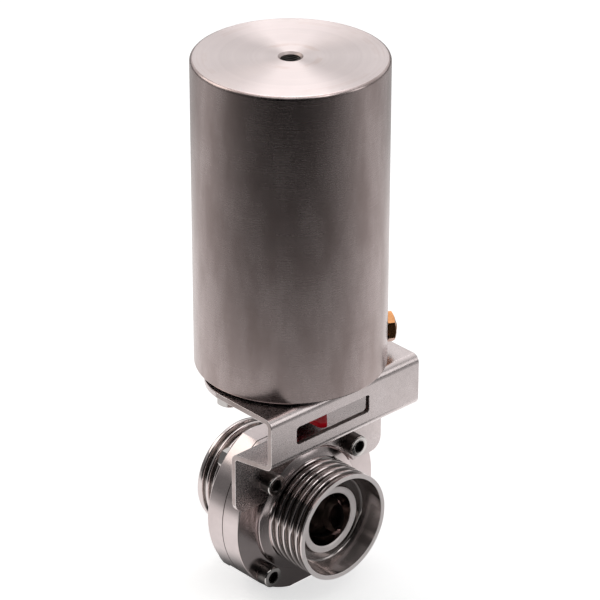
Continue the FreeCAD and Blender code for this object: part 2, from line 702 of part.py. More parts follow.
def helical_cutter(start_angle):
    # a rectangle square to the path, swept a quarter turn down the stroke
    mean_r = (CAM_R + CAM_IN_R) / 2.0
    half = ROLLER_R + SLOT_PLAY
    reach = CAM_R - CAM_IN_R
    steps = 24
    sections = []
    rise = math.atan2(STROKE, mean_r * math.pi / 2)
    for i in range(steps + 1):
        f = i / float(steps)
        a = math.radians(start_angle - 90.0 * f)
        z = PIN_Z - STROKE * f
        radial = V(math.cos(a), math.sin(a), 0)
        # path direction: clockwise and down; the slot's width direction is square to it
        around = V(math.sin(a), -math.cos(a), 0)
        across = around * math.sin(rise) + V(0, 0, 1) * math.cos(rise)
        pts = []
        for u, w in ((-1, -1), (1, -1), (1, 1), (-1, 1)):
            centre = radial * (mean_r + u * reach) + V(0, 0, z)
            pts.append(centre + across * (w * half))
        sections.append(Part.makePolygon(pts + [pts[0]]))
    cutter = Part.makeLoft(sections, True, True)
    ends = []
    for f in (0.0, 1.0):
        a = start_angle - 90.0 * f
        end = xcyl(half, mean_r - reach, mean_r + reach, PIN_Z - STROKE * f)
        end.rotate(V(0, 0, 0), V(0, 0, 1), a)
        ends.append(end)
    return [cutter] + ends


def cam_sleeve():
    sleeve = tube(CAM_R, CAM_IN_R, BASE_TOP + PARTING + SHAFT_FLANGE_T, CAM_TOP)
    for start in (0.0, 180.0):
        for tool in helical_cutter(start):
            sleeve = sleeve.cut(tool)
    for hole in both_sides(CAM_IN_R / 2, CAM_R + PAST, DOWEL_R, DOWEL_Z):
        sleeve = sleeve.cut(hole)
    return sleeve


def guide_screw_places():
    out = []
    for i in range(4):
        a = math.radians(45 + 90 * i)
        out.append((GUIDE_SCREW_PLACE_R * math.cos(a), GUIDE_SCREW_PLACE_R * math.sin(a)))
    return out


def guide_screw_end():
    return BASE_TOP - 3 * M4_R


def guide_sleeve():
    flange_z = BASE_TOP + GUIDE_FLANGE_H
    body = cyl(GUIDE_R, BASE_TOP, GUIDE_TOP).fuse(cyl(GUIDE_FLANGE_R, BASE_TOP, flange_z))
    body = body.removeSplitter().cut(cyl(GUIDE_IN_R, BASE_TOP - PAST, GUIDE_TOP + PAST))
    half = ROLLER_R + SLOT_PLAY
    low = PIN_Z - STROKE
    for sx in (-1, 1):
        x0 = min(sx * CAM_IN_R, sx * (GUIDE_R + PAST))
        x1 = max(sx * CAM_IN_R, sx * (GUIDE_R + PAST))
        body = body.cut(box(x0, x1, -half, half, low, PIN_Z))
        body = body.cut(xcyl(half, x0, x1, low))
        body = body.cut(xcyl(half, x0, x1, PIN_Z))
    for x, y in guide_screw_places():
        body = body.cut(cyl(M4_R + O_RING_PLAY, BASE_TOP - PAST, flange_z + PAST, x, y))
    return body


def guide_screws():
    out = []
    head_z = BASE_TOP + GUIDE_FLANGE_H
    for x, y in guide_screw_places():
        shank = cyl(M4_R, guide_screw_end(), head_z + PAST, x, y)
        head = cyl(M4_HEAD_R, head_z, head_z + M4_HEAD_H, x, y)
        out.append(shank.fuse(head))
    return out


def piston():
    crown = cyl(CYL_IN_R - PARTING, PISTON_Z0, PISTON_Z1)
    crown = crown.cut(tube(CYL_R, CYL_IN_R - SEAL_GROOVE_DEPTH, SEAL_GROOVE_Z0, SEAL_GROOVE_Z1))
    crown = crown.cut(tube(CYL_R, CYL_IN_R - BAND_GROOVE_DEPTH, BAND_GROOVE_Z0, BAND_GROOVE_Z1))
    crown = crown.cut(cyl(PISTON_RECESS_R, PISTON_Z1 - PISTON_RECESS_DEPTH, PISTON_Z1 + PAST))
    rod = cyl(ROD_R, ROD_END_Z, PISTON_Z0 + PAST)
    body = crown.fuse(rod).removeSplitter()
    return body.cut(xcyl(PIN_R, -ROD_R - PAST, ROD_R + PAST, PIN_Z))


def piston_seal():
    return tube(CYL_IN_R - RUN, CYL_IN_R - SEAL_GROOVE_DEPTH, SEAL_GROOVE_Z0, SEAL_GROOVE_Z1)


def guide_band():
    return tube(CYL_IN_R - RUN, CYL_IN_R - BAND_GROOVE_DEPTH, BAND_GROOVE_Z0, BAND_GROOVE_Z1)


def cross_pin():
    return xcyl(PIN_R, -GUIDE_R - PIN_OVERHANG, GUIDE_R + PIN_OVERHANG, PIN_Z)


def rollers():
    # one roller in each slot: two in the cam sleeve and two in the guide sleeve
    out = []
    gap = O_RING_PLAY
    for inner, outer in ((CAM_IN_R, CAM_R), (GUIDE_IN_R, GUIDE_R)):
        discs = both_sides(inner + gap, outer - gap, ROLLER_R, PIN_Z)
        holes = both_sides(inner - PAST, outer + PAST, PIN_R, PIN_Z)
        out += [disc.cut(hole) for disc, hole in zip(discs, holes)]
    return out


def return_spring():
    z0 = BASE_TOP + WIRE_R
    z1 = PISTON_Z0 - WIRE_R
    pitch = (z1 - z0) / SPRING_TURNS
    per_turn = 14
    sides = 6
    count = int(per_turn * SPRING_TURNS)
    rings = []
    for i in range(count + 1):
        f = i / float(count)
        a = 2 * math.pi * SPRING_TURNS * f
        radial = V(math.cos(a), math.sin(a), 0)
        centre = radial * SPRING_R + V(0, 0, z0 + (z1 - z0) * f)
        ring = []
        for k in range(sides):
            b = math.radians(60 * k + 30)
            ring.append(centre + radial * (WIRE_R * math.cos(b)) + V(0, 0, WIRE_R * math.sin(b)))
        rings.append(ring)
    faces = [polygon(rings[0]), polygon(list(reversed(rings[-1])))]
    for lower, upper in zip(rings, rings[1:]):
        for k in range(sides):
            n = (k + 1) % sides
            faces.append(polygon([lower[k], upper[k], upper[n]]))
            faces.append(polygon([lower[k], upper[n], lower[n]]))
    solid = Part.Solid(Part.Shell(faces))
    if solid.Volume < 0:
        solid.reverse()
    return solid


# Export
def save(name, shape):
    shapes = shape if isinstance(shape, list) else [shape]
    moved = []
    for s in shapes:
        c = s.copy()
        c.translate(V(0, PORT_FACE, 0))
        moved.append(c)
    out = moved[0] if len(moved) == 1 else Part.makeCompound(moved)
    ok = all(m.isValid() for m in moved)
    volume = sum(abs(m.Volume) for m in moved)
    print(name, "solids", sum(len(m.Solids) for m in moved), "valid", ok, "cm3", round(volume / 1000.0, 2))
    out.exportStep("parts/%s.step" % name)


front = body_half()
save("front_body", front)
save("rear_body", mirror_y(front))
save("seal_ring", seal_ring())
save("disc", disc_with_stem())
save("upper_bush", upper_bush())
save("lower_bush", lower_bush())
save("stem_o_ring", stem_o_ring())
save("body_screws", body_screws())
save("body_nuts", body_nuts())
save("bracket", bracket())
save("bracket_bolts", bracket_bolts())
save("bracket_washers", bracket_washers())
save("coupling", coupling())
save("pointer", pointer())
save("actuator_cylinder", actuator_cylinder())
save("actuator_base", actuator_base())
save("lock_wire", lock_wire())
save("base_o_ring", base_o_ring())
save("breather", breather())
save("shaft_bushing", shaft_bushing())
save("shaft_o_ring", shaft_o_ring())
save("output_shaft", output_shaft())
save("sleeve_dowels", sleeve_dowels())
save("cam_sleeve", cam_sleeve())
save("guide_sleeve", guide_sleeve())
save("guide_screws", guide_screws())
save("piston", piston())
save("piston_seal", piston_seal())
save("guide_band", guide_band())
save("cross_pin", cross_pin())
save("rollers", rollers())
save("return_spring", return_spring())
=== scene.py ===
import json
import math

import bmesh
import bpy
from mathutils import Matrix, Vector


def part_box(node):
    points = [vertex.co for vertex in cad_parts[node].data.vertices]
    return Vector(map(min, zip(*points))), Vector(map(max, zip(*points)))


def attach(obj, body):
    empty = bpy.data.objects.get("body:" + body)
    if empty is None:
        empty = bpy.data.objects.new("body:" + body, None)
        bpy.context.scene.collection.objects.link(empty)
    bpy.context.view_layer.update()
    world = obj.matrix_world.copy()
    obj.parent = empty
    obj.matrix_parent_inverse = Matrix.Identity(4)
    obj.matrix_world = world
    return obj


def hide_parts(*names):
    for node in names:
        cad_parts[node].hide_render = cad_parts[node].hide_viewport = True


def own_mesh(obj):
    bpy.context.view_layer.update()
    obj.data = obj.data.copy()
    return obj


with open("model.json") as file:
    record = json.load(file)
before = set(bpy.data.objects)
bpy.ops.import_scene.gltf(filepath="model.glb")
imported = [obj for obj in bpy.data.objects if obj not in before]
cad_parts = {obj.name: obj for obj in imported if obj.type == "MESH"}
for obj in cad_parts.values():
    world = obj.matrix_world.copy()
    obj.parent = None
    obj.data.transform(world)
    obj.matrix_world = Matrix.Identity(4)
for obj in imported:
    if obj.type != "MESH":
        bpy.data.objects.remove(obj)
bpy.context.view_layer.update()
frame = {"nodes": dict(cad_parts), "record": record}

# Sizes in mm, in the working frame: pipe axis Y, stem axis Z, both through the disc centre.
# The valve body
PORT_FACE = 35.4
HALF_T = 10.3
OUTLINE_R = 42.0
OUTLINE_DZ = 1.5
TOP_FLAT = 38.2
BOTTOM_FLAT = -39.3
RIM_CHAMFER = 0.6
SPLIT_CHAMFER = 0.25
BOSS_R = 30.2
BOSS_Y = 11.9
NECK_Y = 13.2
THREAD_R = 26.0
THREAD_PITCH = 25.4 / 6.0
THREAD_ROUND = 1.0
FIRST_CREST = -14.4
END_LAND = 1.0
MOUTH_R = 23.85
MOUTH_FLOOR_R = 21.2
MOUTH_ROUND = 1.3
LIP_R = 16.3
LIP_ROUND = 1.0
LIP_DEPTH = 8.55
FLOOR_DEPTH = 10.6
BORE_R = 13.0
SEAL_R = 19.5
SEAL_HALF = 4.2
BUSH_R = 7.0
# The fasteners
SCREW_X = 25.59
SCREW_Z = 24.89
M6_HEAD_R = 5.0
M6_HEAD_H = 6.0
M6_SOCKET_AF = 5.0
M6_SOCKET_DEPTH = 3.0
M6_SOCKET_TURN = 0.3  # rad
M6_R = 3.0
M6_HOLE_R = 3.3
M6_PITCH = 1.0
M6_NUT_AF = 10.0
M6_NUT_H = 5.0
M6_PAST_NUT = 1.2
M6_BOLT_H = 4.0
HEX_CHAMFER = 28.0  # degrees
WASHER_R = 6.0
WASHER_T = 1.6
VEE_DEPTH = 0.55
# The bracket
SHEET = 2.5
BEND_R = 4.0
HALF_L = 45.2
WEB_Y = -36.6
PLATE_TOP = 72.6
PLATE_REAR = 25.0
PLATE_CORNER_R = 28.0
FLANGE_TOP = 46.1
FLANGE_SLOPE = 9.5
TAB_BOTTOM = 14.5
TAB_CORNER_R = 6.5
TAB_CUT_R = 31.0
WINDOW_X = (-30.1, 14.1)
WINDOW_Z = (55.4, 64.05)
WINDOW_R = 1.6
BOLT_X = 37.0
PLATE_HOLE_R = 11.0
PAST = 5.0  # how far a corner's cutting tool reaches past the sheet
# The actuator, the pointer, the breather and the spring
CYL_R = 43.5
CYL_IN_R = 41.5
CYL_BOTTOM = 73.8
CYL_TOP = 220.6
HEAD_T = 10.0
TOP_EDGE_R = 1.6
AIR_HOLE_R = 4.4
AIR_CHAMFER = 1.2
AIR_PITCH = 25.4 / 28.0
POINTER_Z = 54.2
POINTER_T = 2.4
POINTER_LEFT = -11.2
POINTER_GAP = 1.5
HUB_H = 6.0
HUB_R = 13.0
HUB_NECK_R = 11.0
HUB_BORE_R = 9.0
BREATHER_Z = 84.0
BREATHER_ANGLE = -30.0  # degrees about the stem
BREATHER_AF = 12.6
BREATHER_HEX_H = 3.9
BREATHER_R = 4.8
BREATHER_GAP = 0.3
BREATHER_CROWN = 0.86
BREATHER_TURN = -0.36  # rad
DOME_DROP = -0.9
DOME_R = 6.2
SPRING_R = 31.2
WIRE_R = 2.6
SPRING_TURNS = 7.5

# The camera, found from the photograph by a least-squares fit (degrees, pixels, mm)
CAM_AZ = -42.92
CAM_EL = 27.70
CAM_ROLL = 0.08
CAM_FOCAL_PX = 3200.0
CAM_DISTANCE = 1473.19
CAM_SIDE = 4.33
CAM_UP = 90.90
FRAME_PX = 600.0


def at(x, y, z):
    """A point of the working frame, in mm, as a point of the model, in metres."""
    return Vector((x, y + PORT_FACE, z)) / 1000.0


# meshes
MERGE = 1e-7  # m, below which two points are one
SMALL_TO_LARGE = 6.0  # how many times larger a large flat face is than its neighbour
LEAST_TURN = 1.0  # degrees, from which such a pair gets an edge


def linked(name, data):
    """A new object in the scene."""
    ob = bpy.data.objects.new(name, data)
    bpy.context.scene.collection.objects.link(ob)
    return ob


def make(name, verts, faces, smooth=30.0):
    """An object from points of the working frame in mm."""
    me = bpy.data.meshes.new(name)
    me.from_pydata([at(*v) for v in verts], [], faces)
    bm = bmesh.new()
    bm.from_mesh(me)
    bmesh.ops.remove_doubles(bm, verts=bm.verts, dist=MERGE)
    bmesh.ops.dissolve_degenerate(bm, edges=bm.edges, dist=MERGE)
    bmesh.ops.recalc_face_normals(bm, faces=bm.faces)
    bm.to_mesh(me)
    bm.free()
    ob = linked(name, me)
    smooth_by(ob, smooth)
    return ob


def smooth_by(ob, degrees):
    """Smooth shading, with an edge at each sharp turn and where a small face meets a large flat one."""
    ob.data.shade_smooth()
    ob.data.set_sharp_from_angle(angle=math.radians(degrees))
    bm = bmesh.new()
    bm.from_mesh(ob.data)
    size = [face.calc_area() for face in bm.faces]
    for edge in bm.edges:
        if len(edge.link_faces) == 2:
            small, large = sorted(size[face.index] for face in edge.link_faces)
            if large > SMALL_TO_LARGE * small and edge.calc_face_angle(0.0) > math.radians(LEAST_TURN):
                edge.smooth = False
    bm.to_mesh(ob.data)
    bm.free()


def applied(ob, smooth=30.0):
    """Replaces the mesh by the one that its modifiers give."""
    bpy.context.view_layer.update()
    graph = bpy.context.evaluated_depsgraph_get()
    me = bpy.data.meshes.new_from_object(ob.evaluated_get(graph), depsgraph=graph)
    old = ob.data
    ob.modifiers.clear()
    ob.data = me
    bpy.data.meshes.remove(old)
    smooth_by(ob, smooth)
    return ob


def cut(ob, tools, smooth=30.0):
    """Takes the tools away from ob."""
    for tool in tools:
        mod = ob.modifiers.new("cut", "BOOLEAN")
        mod.operation = "DIFFERENCE"
        mod.solver = "EXACT"
        mod.object = tool
        applied(ob, smooth)
        bpy.data.objects.remove(tool)
    return ob


def bevelled(ob, width, segments=2, angle=30.0):
    """Rounds the edges that turn by more than the angle."""
    mod = ob.modifiers.new("bevel", "BEVEL")
    mod.width = width / 1000.0
    mod.segments = segments
    mod.limit_method = "ANGLE"
    mod.angle_limit = math.radians(angle)
    mod.use_clamp_overlap = True
    return applied(ob, angle)


def joined(name, objects, smooth=30.0):
    """One object with the meshes of several."""
    me = bpy.data.meshes.new(name)
    bm = bmesh.new()
    for ob in objects:
        part = ob.data.copy()
        part.transform(ob.matrix_world)
        bm.from_mesh(part)
        bpy.data.meshes.remove(part)
        bpy.data.objects.remove(ob)
    bm.to_mesh(me)
    bm.free()
    ob = linked(name, me)
    smooth_by(ob, smooth)
    return ob


def axis_point(axis, r, a, s, centre):
    """A point at radius r, angle a and height s of an axis through centre (mm)."""
    x, y, z = centre
    if axis == "Y":
        return (x + r * math.cos(a), y + s, z + r * math.sin(a))
    if axis == "Z":
        return (x + r * math.cos(a), y + r * math.sin(a), z + s)
    return (x + s, y + r * math.cos(a), z + r * math.sin(a))


def swept(name, row, axis, centre, steps, closed, smooth, phase=0.0):
    """Joins the (radius, height) pairs that row gives for each angle about an axis. Closed joins the last
    pair to the first."""
    verts, faces = [], []
    for j in range(steps):
        a = 2 * math.pi * (j + phase) / steps
        verts += [axis_point(axis, r, a, s, centre) for r, s in row(a)]
    n = len(verts) // steps
    for j in range(steps):
        k = (j + 1) % steps
        for i in range(n if closed else n - 1):
            m = (i + 1) % n
            faces.append((j * n + i, k * n + i, k * n + m, j * n + m))
    return make(name, verts, faces, smooth)


def lathe(name, profile, axis="Z", centre=(0, 0, 0), steps=128, closed=True, smooth=30.0, phase=0.0):
    """Turns one line of (radius, height) pairs about an axis."""
    return swept(name, lambda a: profile, axis, centre, steps, closed, smooth, phase)


def arc(cx, cy, r, a0, a1, steps):
    """Points of an arc in a plane, angles in degrees."""
    out = []
    for i in range(steps + 1):
        a = math.radians(a0 + (a1 - a0) * i / steps)
        out.append((cx + r * math.cos(a), cy + r * math.sin(a)))
    return out


def prism(name, outline, axis, s0, s1, smooth=30.0):
    """A straight solid. The outline is in the plane square to the axis: (x, z), (x, y) or (y, z)."""
    def place(u, v, s):
        return {"Y": (u, s, v), "Z": (u, v, s), "X": (s, u, v)}[axis]
    n = len(outline)
    verts = [place(u, v, s0) for u, v in outline] + [place(u, v, s1) for u, v in outline]
    faces = [tuple(range(n)), tuple(range(2 * n - 1, n - 1, -1))]
    faces += [(i, (i + 1) % n, n + (i + 1) % n, n + i) for i in range(n)]
    return make(name, verts, faces, smooth)


def rod(name, r, axis, s0, s1, centre=(0, 0, 0), steps=48):
    """A round bar between two heights of an axis through centre."""
    return lathe(name, [(0.0, s0), (r, s0), (r, s1), (0.0, s1)], axis, centre, steps)


ROUND_SHARE = 0.97  # of a round thread's radius, on which its flanks stay arcs
VEE_FLAT = 0.1  # of half a pitch, at the crest of a V thread
VEE_FLANK = 0.75  # of half a pitch, on one flank


def round_profile(t, pitch, radius):
    """Depth below the crest of a round thread, t from 0 at a crest to 0.5 at a root."""
    root = pitch / 2.0
    u = t * pitch
    flank = radius * ROUND_SHARE
    crest_drop = radius - math.sqrt(radius ** 2 - min(u, flank) ** 2)
    left = min(root - u, flank)
    root_rise = radius - math.sqrt(radius ** 2 - left ** 2)
    low = 2 * radius
    if u <= flank:
        return crest_drop
    if root - u <= flank:
        return low - root_rise
    a = radius - math.sqrt(radius ** 2 - flank ** 2)
    f = (u - flank) / (root - 2 * flank)
    return a + (low - 2 * a) * f


def vee_profile(t, pitch, depth):
    """Depth below the crest of a V thread with small flats."""
    return depth * min(1.0, max(0.0, (2 * t - VEE_FLAT) / VEE_FLANK))


def threaded(name, r, pitch, s0, s1, crest, drop, fade0, fade1, axis="Y", centre=(0, 0, 0),
             steps=180, per_pitch=18, sign=-1.0, inward=1.0):
    """A helical sleeve between s0 and s1. At the angle pi a crest stands at the height crest.
    Rows follow the helix, so that every crest is a clean line. sign is the way the rows climb."""
    def height(g, a):
        return crest + pitch * g / per_pitch + sign * pitch * (a - math.pi) / (2 * math.pi)

    g0 = int(math.floor((s0 - crest - pitch) / pitch * per_pitch)) - 1
    g1 = int(math.ceil((s1 - crest + pitch) / pitch * per_pitch)) + 1
    rows = g1 - g0 + 1
    verts, faces = [], []
    for g in range(g0, g1 + 1):
        t = (g % per_pitch) / per_pitch
        t = min(t, 1 - t)
        for j in range(steps):
            a = 2 * math.pi * j / steps
            s = min(max(height(g, a), s0), s1)
            fade = min(1.0, (s - s0) / fade0, (s1 - s) / fade1)
            fade = fade * fade * (3 - 2 * fade)
            verts.append(axis_point(axis, r - inward * drop(t) * fade, a, s, centre))
    for i in range(rows - 1):
        for j in range(steps):
            if j < steps - 1:
                faces.append((i * steps + j, (i + 1) * steps + j,
                              (i + 1) * steps + j + 1, i * steps + j + 1))
            else:
                shift = int(sign) * per_pitch
                lo = min(max(i + shift, 0), rows - 1)
                hi = min(max(i + 1 + shift, 0), rows - 1)
                faces.append((i * steps + j, (i + 1) * steps + j, hi * steps, lo * steps))
    return make(name, verts, [f for f in faces if len(set(f)) > 2], 40.0)


# materials
ACROSS = 0.25  # a quarter turn: gloss spreads square to the tool lines
LIFT = 0.00002  # m, the height of the finest grain
COARSE_LIFT = 0.00003


def scaled(colour, *shares):
    """The colour with each channel times its share, up to 1. One share serves all three."""
    return tuple(min(1.0, c * s) for c, s in zip(colour, shares * 3 if len(shares) == 1 else shares))


class Nodes:
    """Short hand for the node tree of a material or a world."""

    def __init__(self, owner):
        owner.use_nodes = True
        self.tree = owner.node_tree

    def add(self, kind, **values):
        node = self.tree.nodes.new(kind)
        for key, value in values.items():
            setattr(node, key, value)
        return node

    def link(self, a, b):
        self.tree.links.new(a, b)

    def coords(self, scale, centre=(0.0, 0.0, 0.0)):
        """Object coordinates about a centre, times a scale, as a vector output."""
        source = self.add("ShaderNodeTexCoord")
        shift = self.add("ShaderNodeVectorMath", operation="SUBTRACT")
        shift.inputs[1].default_value = centre
        times = self.add("ShaderNodeVectorMath", operation="MULTIPLY")
        times.inputs[1].default_value = scale
        self.link(source.outputs["Object"], shift.inputs[0])
        self.link(shift.outputs[0], times.inputs[0])
        return times.outputs[0]

    def noise(self, vector, detail, rough=0.5):
        node = self.add("ShaderNodeTexNoise")
        node.inputs["Scale"].default_value = 1.0
        node.inputs["Detail"].default_value = detail
        node.inputs["Roughness"].default_value = rough
        self.link(vector, node.inputs["Vector"])
        return node.outputs["Fac"]

    def span(self, value, low, high, to_low, to_high, kind="LINEAR"):
        node = self.add("ShaderNodeMapRange", interpolation_type=kind)
        for key, number in zip(("From Min", "From Max", "To Min", "To Max"),
                               (low, high, to_low, to_high)):
            node.inputs[key].default_value = number
        self.link(value, node.inputs["Value"])
        return node.outputs["Result"]

    def blend(self, factor, a, b):
        node = self.add("ShaderNodeMix", data_type="RGBA")
        self.link(factor, node.inputs["Factor"])
        for value, socket in ((a, node.inputs["A"]), (b, node.inputs["B"])):
            if isinstance(value, bpy.types.NodeSocket):
                self.link(value, socket)
            else:
                socket.default_value = (*value, 1.0)
        return node.outputs["Result"]

    def math(self, operation, a, b=None):
        node = self.add("ShaderNodeMath", operation=operation)
        for value, socket in ((a, node.inputs[0]), (b, node.inputs[1])):
            if isinstance(value, bpy.types.NodeSocket):
                self.link(value, socket)
            elif value is not None:
                socket.default_value = value
        return node.outputs[0]

    def length(self, vector):
        node = self.add("ShaderNodeVectorMath", operation="LENGTH")
        self.link(vector, node.inputs[0])
        return node.outputs["Value"]

    def mean(self, a, b):
        """Half of each."""
        return self.math("ADD", self.math("MULTIPLY", a, 0.5), self.math("MULTIPLY", b, 0.5))

    def seen(self):
        """1 for the rays of the camera and of what mirrors or shows through, and 0 for the rest."""
        path = self.add("ShaderNodeLightPath")
        mirrored = self.math("MAXIMUM", path.outputs["Is Glossy Ray"], path.outputs["Is Transmission Ray"])
        return self.math("MAXIMUM", path.outputs["Is Camera Ray"], mirrored)


class Finish(Nodes):
    """A new material, with its shader and its output."""

    def __init__(self, name):
        self.mat = bpy.data.materials.new(name)
        super().__init__(self.mat)
        self.bsdf = self.tree.nodes["Principled BSDF"]
        self.surface = self.tree.nodes["Material Output"].inputs["Surface"]

    def shader(self, values):
        """Sets what is the same all over the surface, on the shader's own sockets."""
        for key, value in values.items():
            self.bsdf.inputs[key].default_value = value

    def bump(self, height, strength, distance):
        """Puts the height on the shader's normal."""
        node = self.add("ShaderNodeBump")
        node.inputs["Strength"].default_value = strength
        node.inputs["Distance"].default_value = distance
        self.link(height, node.inputs["Height"])
        self.link(node.outputs["Normal"], self.bsdf.inputs["Normal"])

    def around(self, axis):
        """Tool lines that run round an axis."""
        node = self.add("ShaderNodeTangent", direction_type="RADIAL", axis=axis)
        self.link(node.outputs[0], self.bsdf.inputs["Tangent"])


def metal(name, colour, rough, anisotropic=0.0, tangent=None, grain=(1.0, 1.0, 1.0), grain_scale=900.0,
          grain_bump=0.15, cloud=0.06, lines=0.03, cloud_scale=(60.0, 60.0, 60.0), uneven=0.15,
          centre=(0.0, 0.0, 0.0)):
    """Steel with a directional grain, soft brownish clouds, faint lines and uneven roughness."""
    n = Finish(name)
    n.shader({"Metallic": 1.0, "Anisotropic": anisotropic,
              "Anisotropic Rotation": ACROSS if anisotropic else 0.0})
    fine = n.noise(n.coords(tuple(g * grain_scale for g in grain), centre), 4.0, 0.6)
    soft = n.noise(n.coords(cloud_scale, centre), 4.0, 0.6)
    streaks = n.noise(n.coords(tuple(g * grain_scale * 0.5 for g in grain), centre), 3.0, 0.6)
    dark = scaled(colour, 1.0 - 0.8 * cloud, 1.0 - cloud, 1.0 - 1.1 * cloud)
    tone = n.blend(n.span(soft, 0.35, 0.65, 0.0, 1.0), dark, scaled(colour, 1.0 + cloud))
    toned = n.add("ShaderNodeVectorMath", operation="SCALE")
    n.link(tone, toned.inputs[0])
    n.link(n.span(streaks, 0.3, 0.7, 1.0 - lines, 1.0 + lines), toned.inputs["Scale"])
    n.link(toned.outputs[0], n.bsdf.inputs["Base Color"])
    spread = n.span(n.mean(fine, soft), 0.3, 0.7, rough * (1.0 - uneven), rough * (1.0 + uneven))
    n.link(spread, n.bsdf.inputs["Roughness"])
    n.bump(fine, grain_bump, LIFT)
    if tangent:
        n.around(tangent)
    return n.mat


def turned_top(name, colour, rough, centre):
    """A faced surface: concentric tool lines, so the gloss spreads along the radius."""
    n = Finish(name)
    n.shader({"Metallic": 1.0, "Anisotropic": 0.93, "Anisotropic Rotation": ACROSS})
    far = n.length(n.coords((1.0, 1.0, 0.0), centre))

    def rings(scale, detail):
        node = n.add("ShaderNodeTexNoise", noise_dimensions="1D")
        node.inputs["Scale"].default_value = scale
        node.inputs["Detail"].default_value = detail
        n.link(far, node.inputs["W"])
        return node.outputs["Fac"]

    fine, wide = rings(900.0, 3.0), rings(120.0, 2.0)
    soft = n.noise(n.coords((45.0, 45.0, 45.0), centre), 3.0)
    mixed = n.span(n.mean(wide, soft), 0.35, 0.65, 0.0, 1.0)
    even = n.blend(mixed, scaled(colour, 0.93), scaled(colour, 1.04))
    patches = n.noise(n.coords((70.0, 70.0, 70.0), centre), 2.0)
    arcs = n.math("MULTIPLY", n.span(wide, 0.56, 0.62, 0.0, 0.6), n.span(patches, 0.54, 0.62, 0.0, 1.0))
    worn = scaled(colour, 0.86, 0.80, 0.76)
    n.link(n.blend(arcs, even, worn), n.bsdf.inputs["Base Color"])
    n.link(n.span(fine, 0.3, 0.7, rough * 0.9, rough * 1.1), n.bsdf.inputs["Roughness"])
    n.bump(fine, 0.12, LIFT)
    n.around("Z")
    return n.mat


def plain(name, colour, rough, metallic=0.0, grain_scale=2500.0, grain_bump=0.1, cloud=0.08, gloss=0.5):
    """A material without a direction: plastic, rubber, drawn wire or sintered bronze."""
    n = Finish(name)
    n.shader({"Metallic": metallic, "Specular IOR Level": gloss})
    fine = n.noise(n.coords((grain_scale,) * 3), 3.0)
    soft = n.noise(n.coords((150.0, 150.0, 150.0)), 3.0)
    patches = n.span(soft, 0.3, 0.7, 0.0, 1.0)
    tone = n.blend(patches, scaled(colour, 1.0 - cloud), scaled(colour, 1.0 + cloud))
    n.link(tone, n.bsdf.inputs["Base Color"])
    n.link(n.span(fine, 0.3, 0.7, rough * 0.9, rough * 1.1), n.bsdf.inputs["Roughness"])
    n.bump(fine, grain_bump, COARSE_LIFT)
    return n.mat


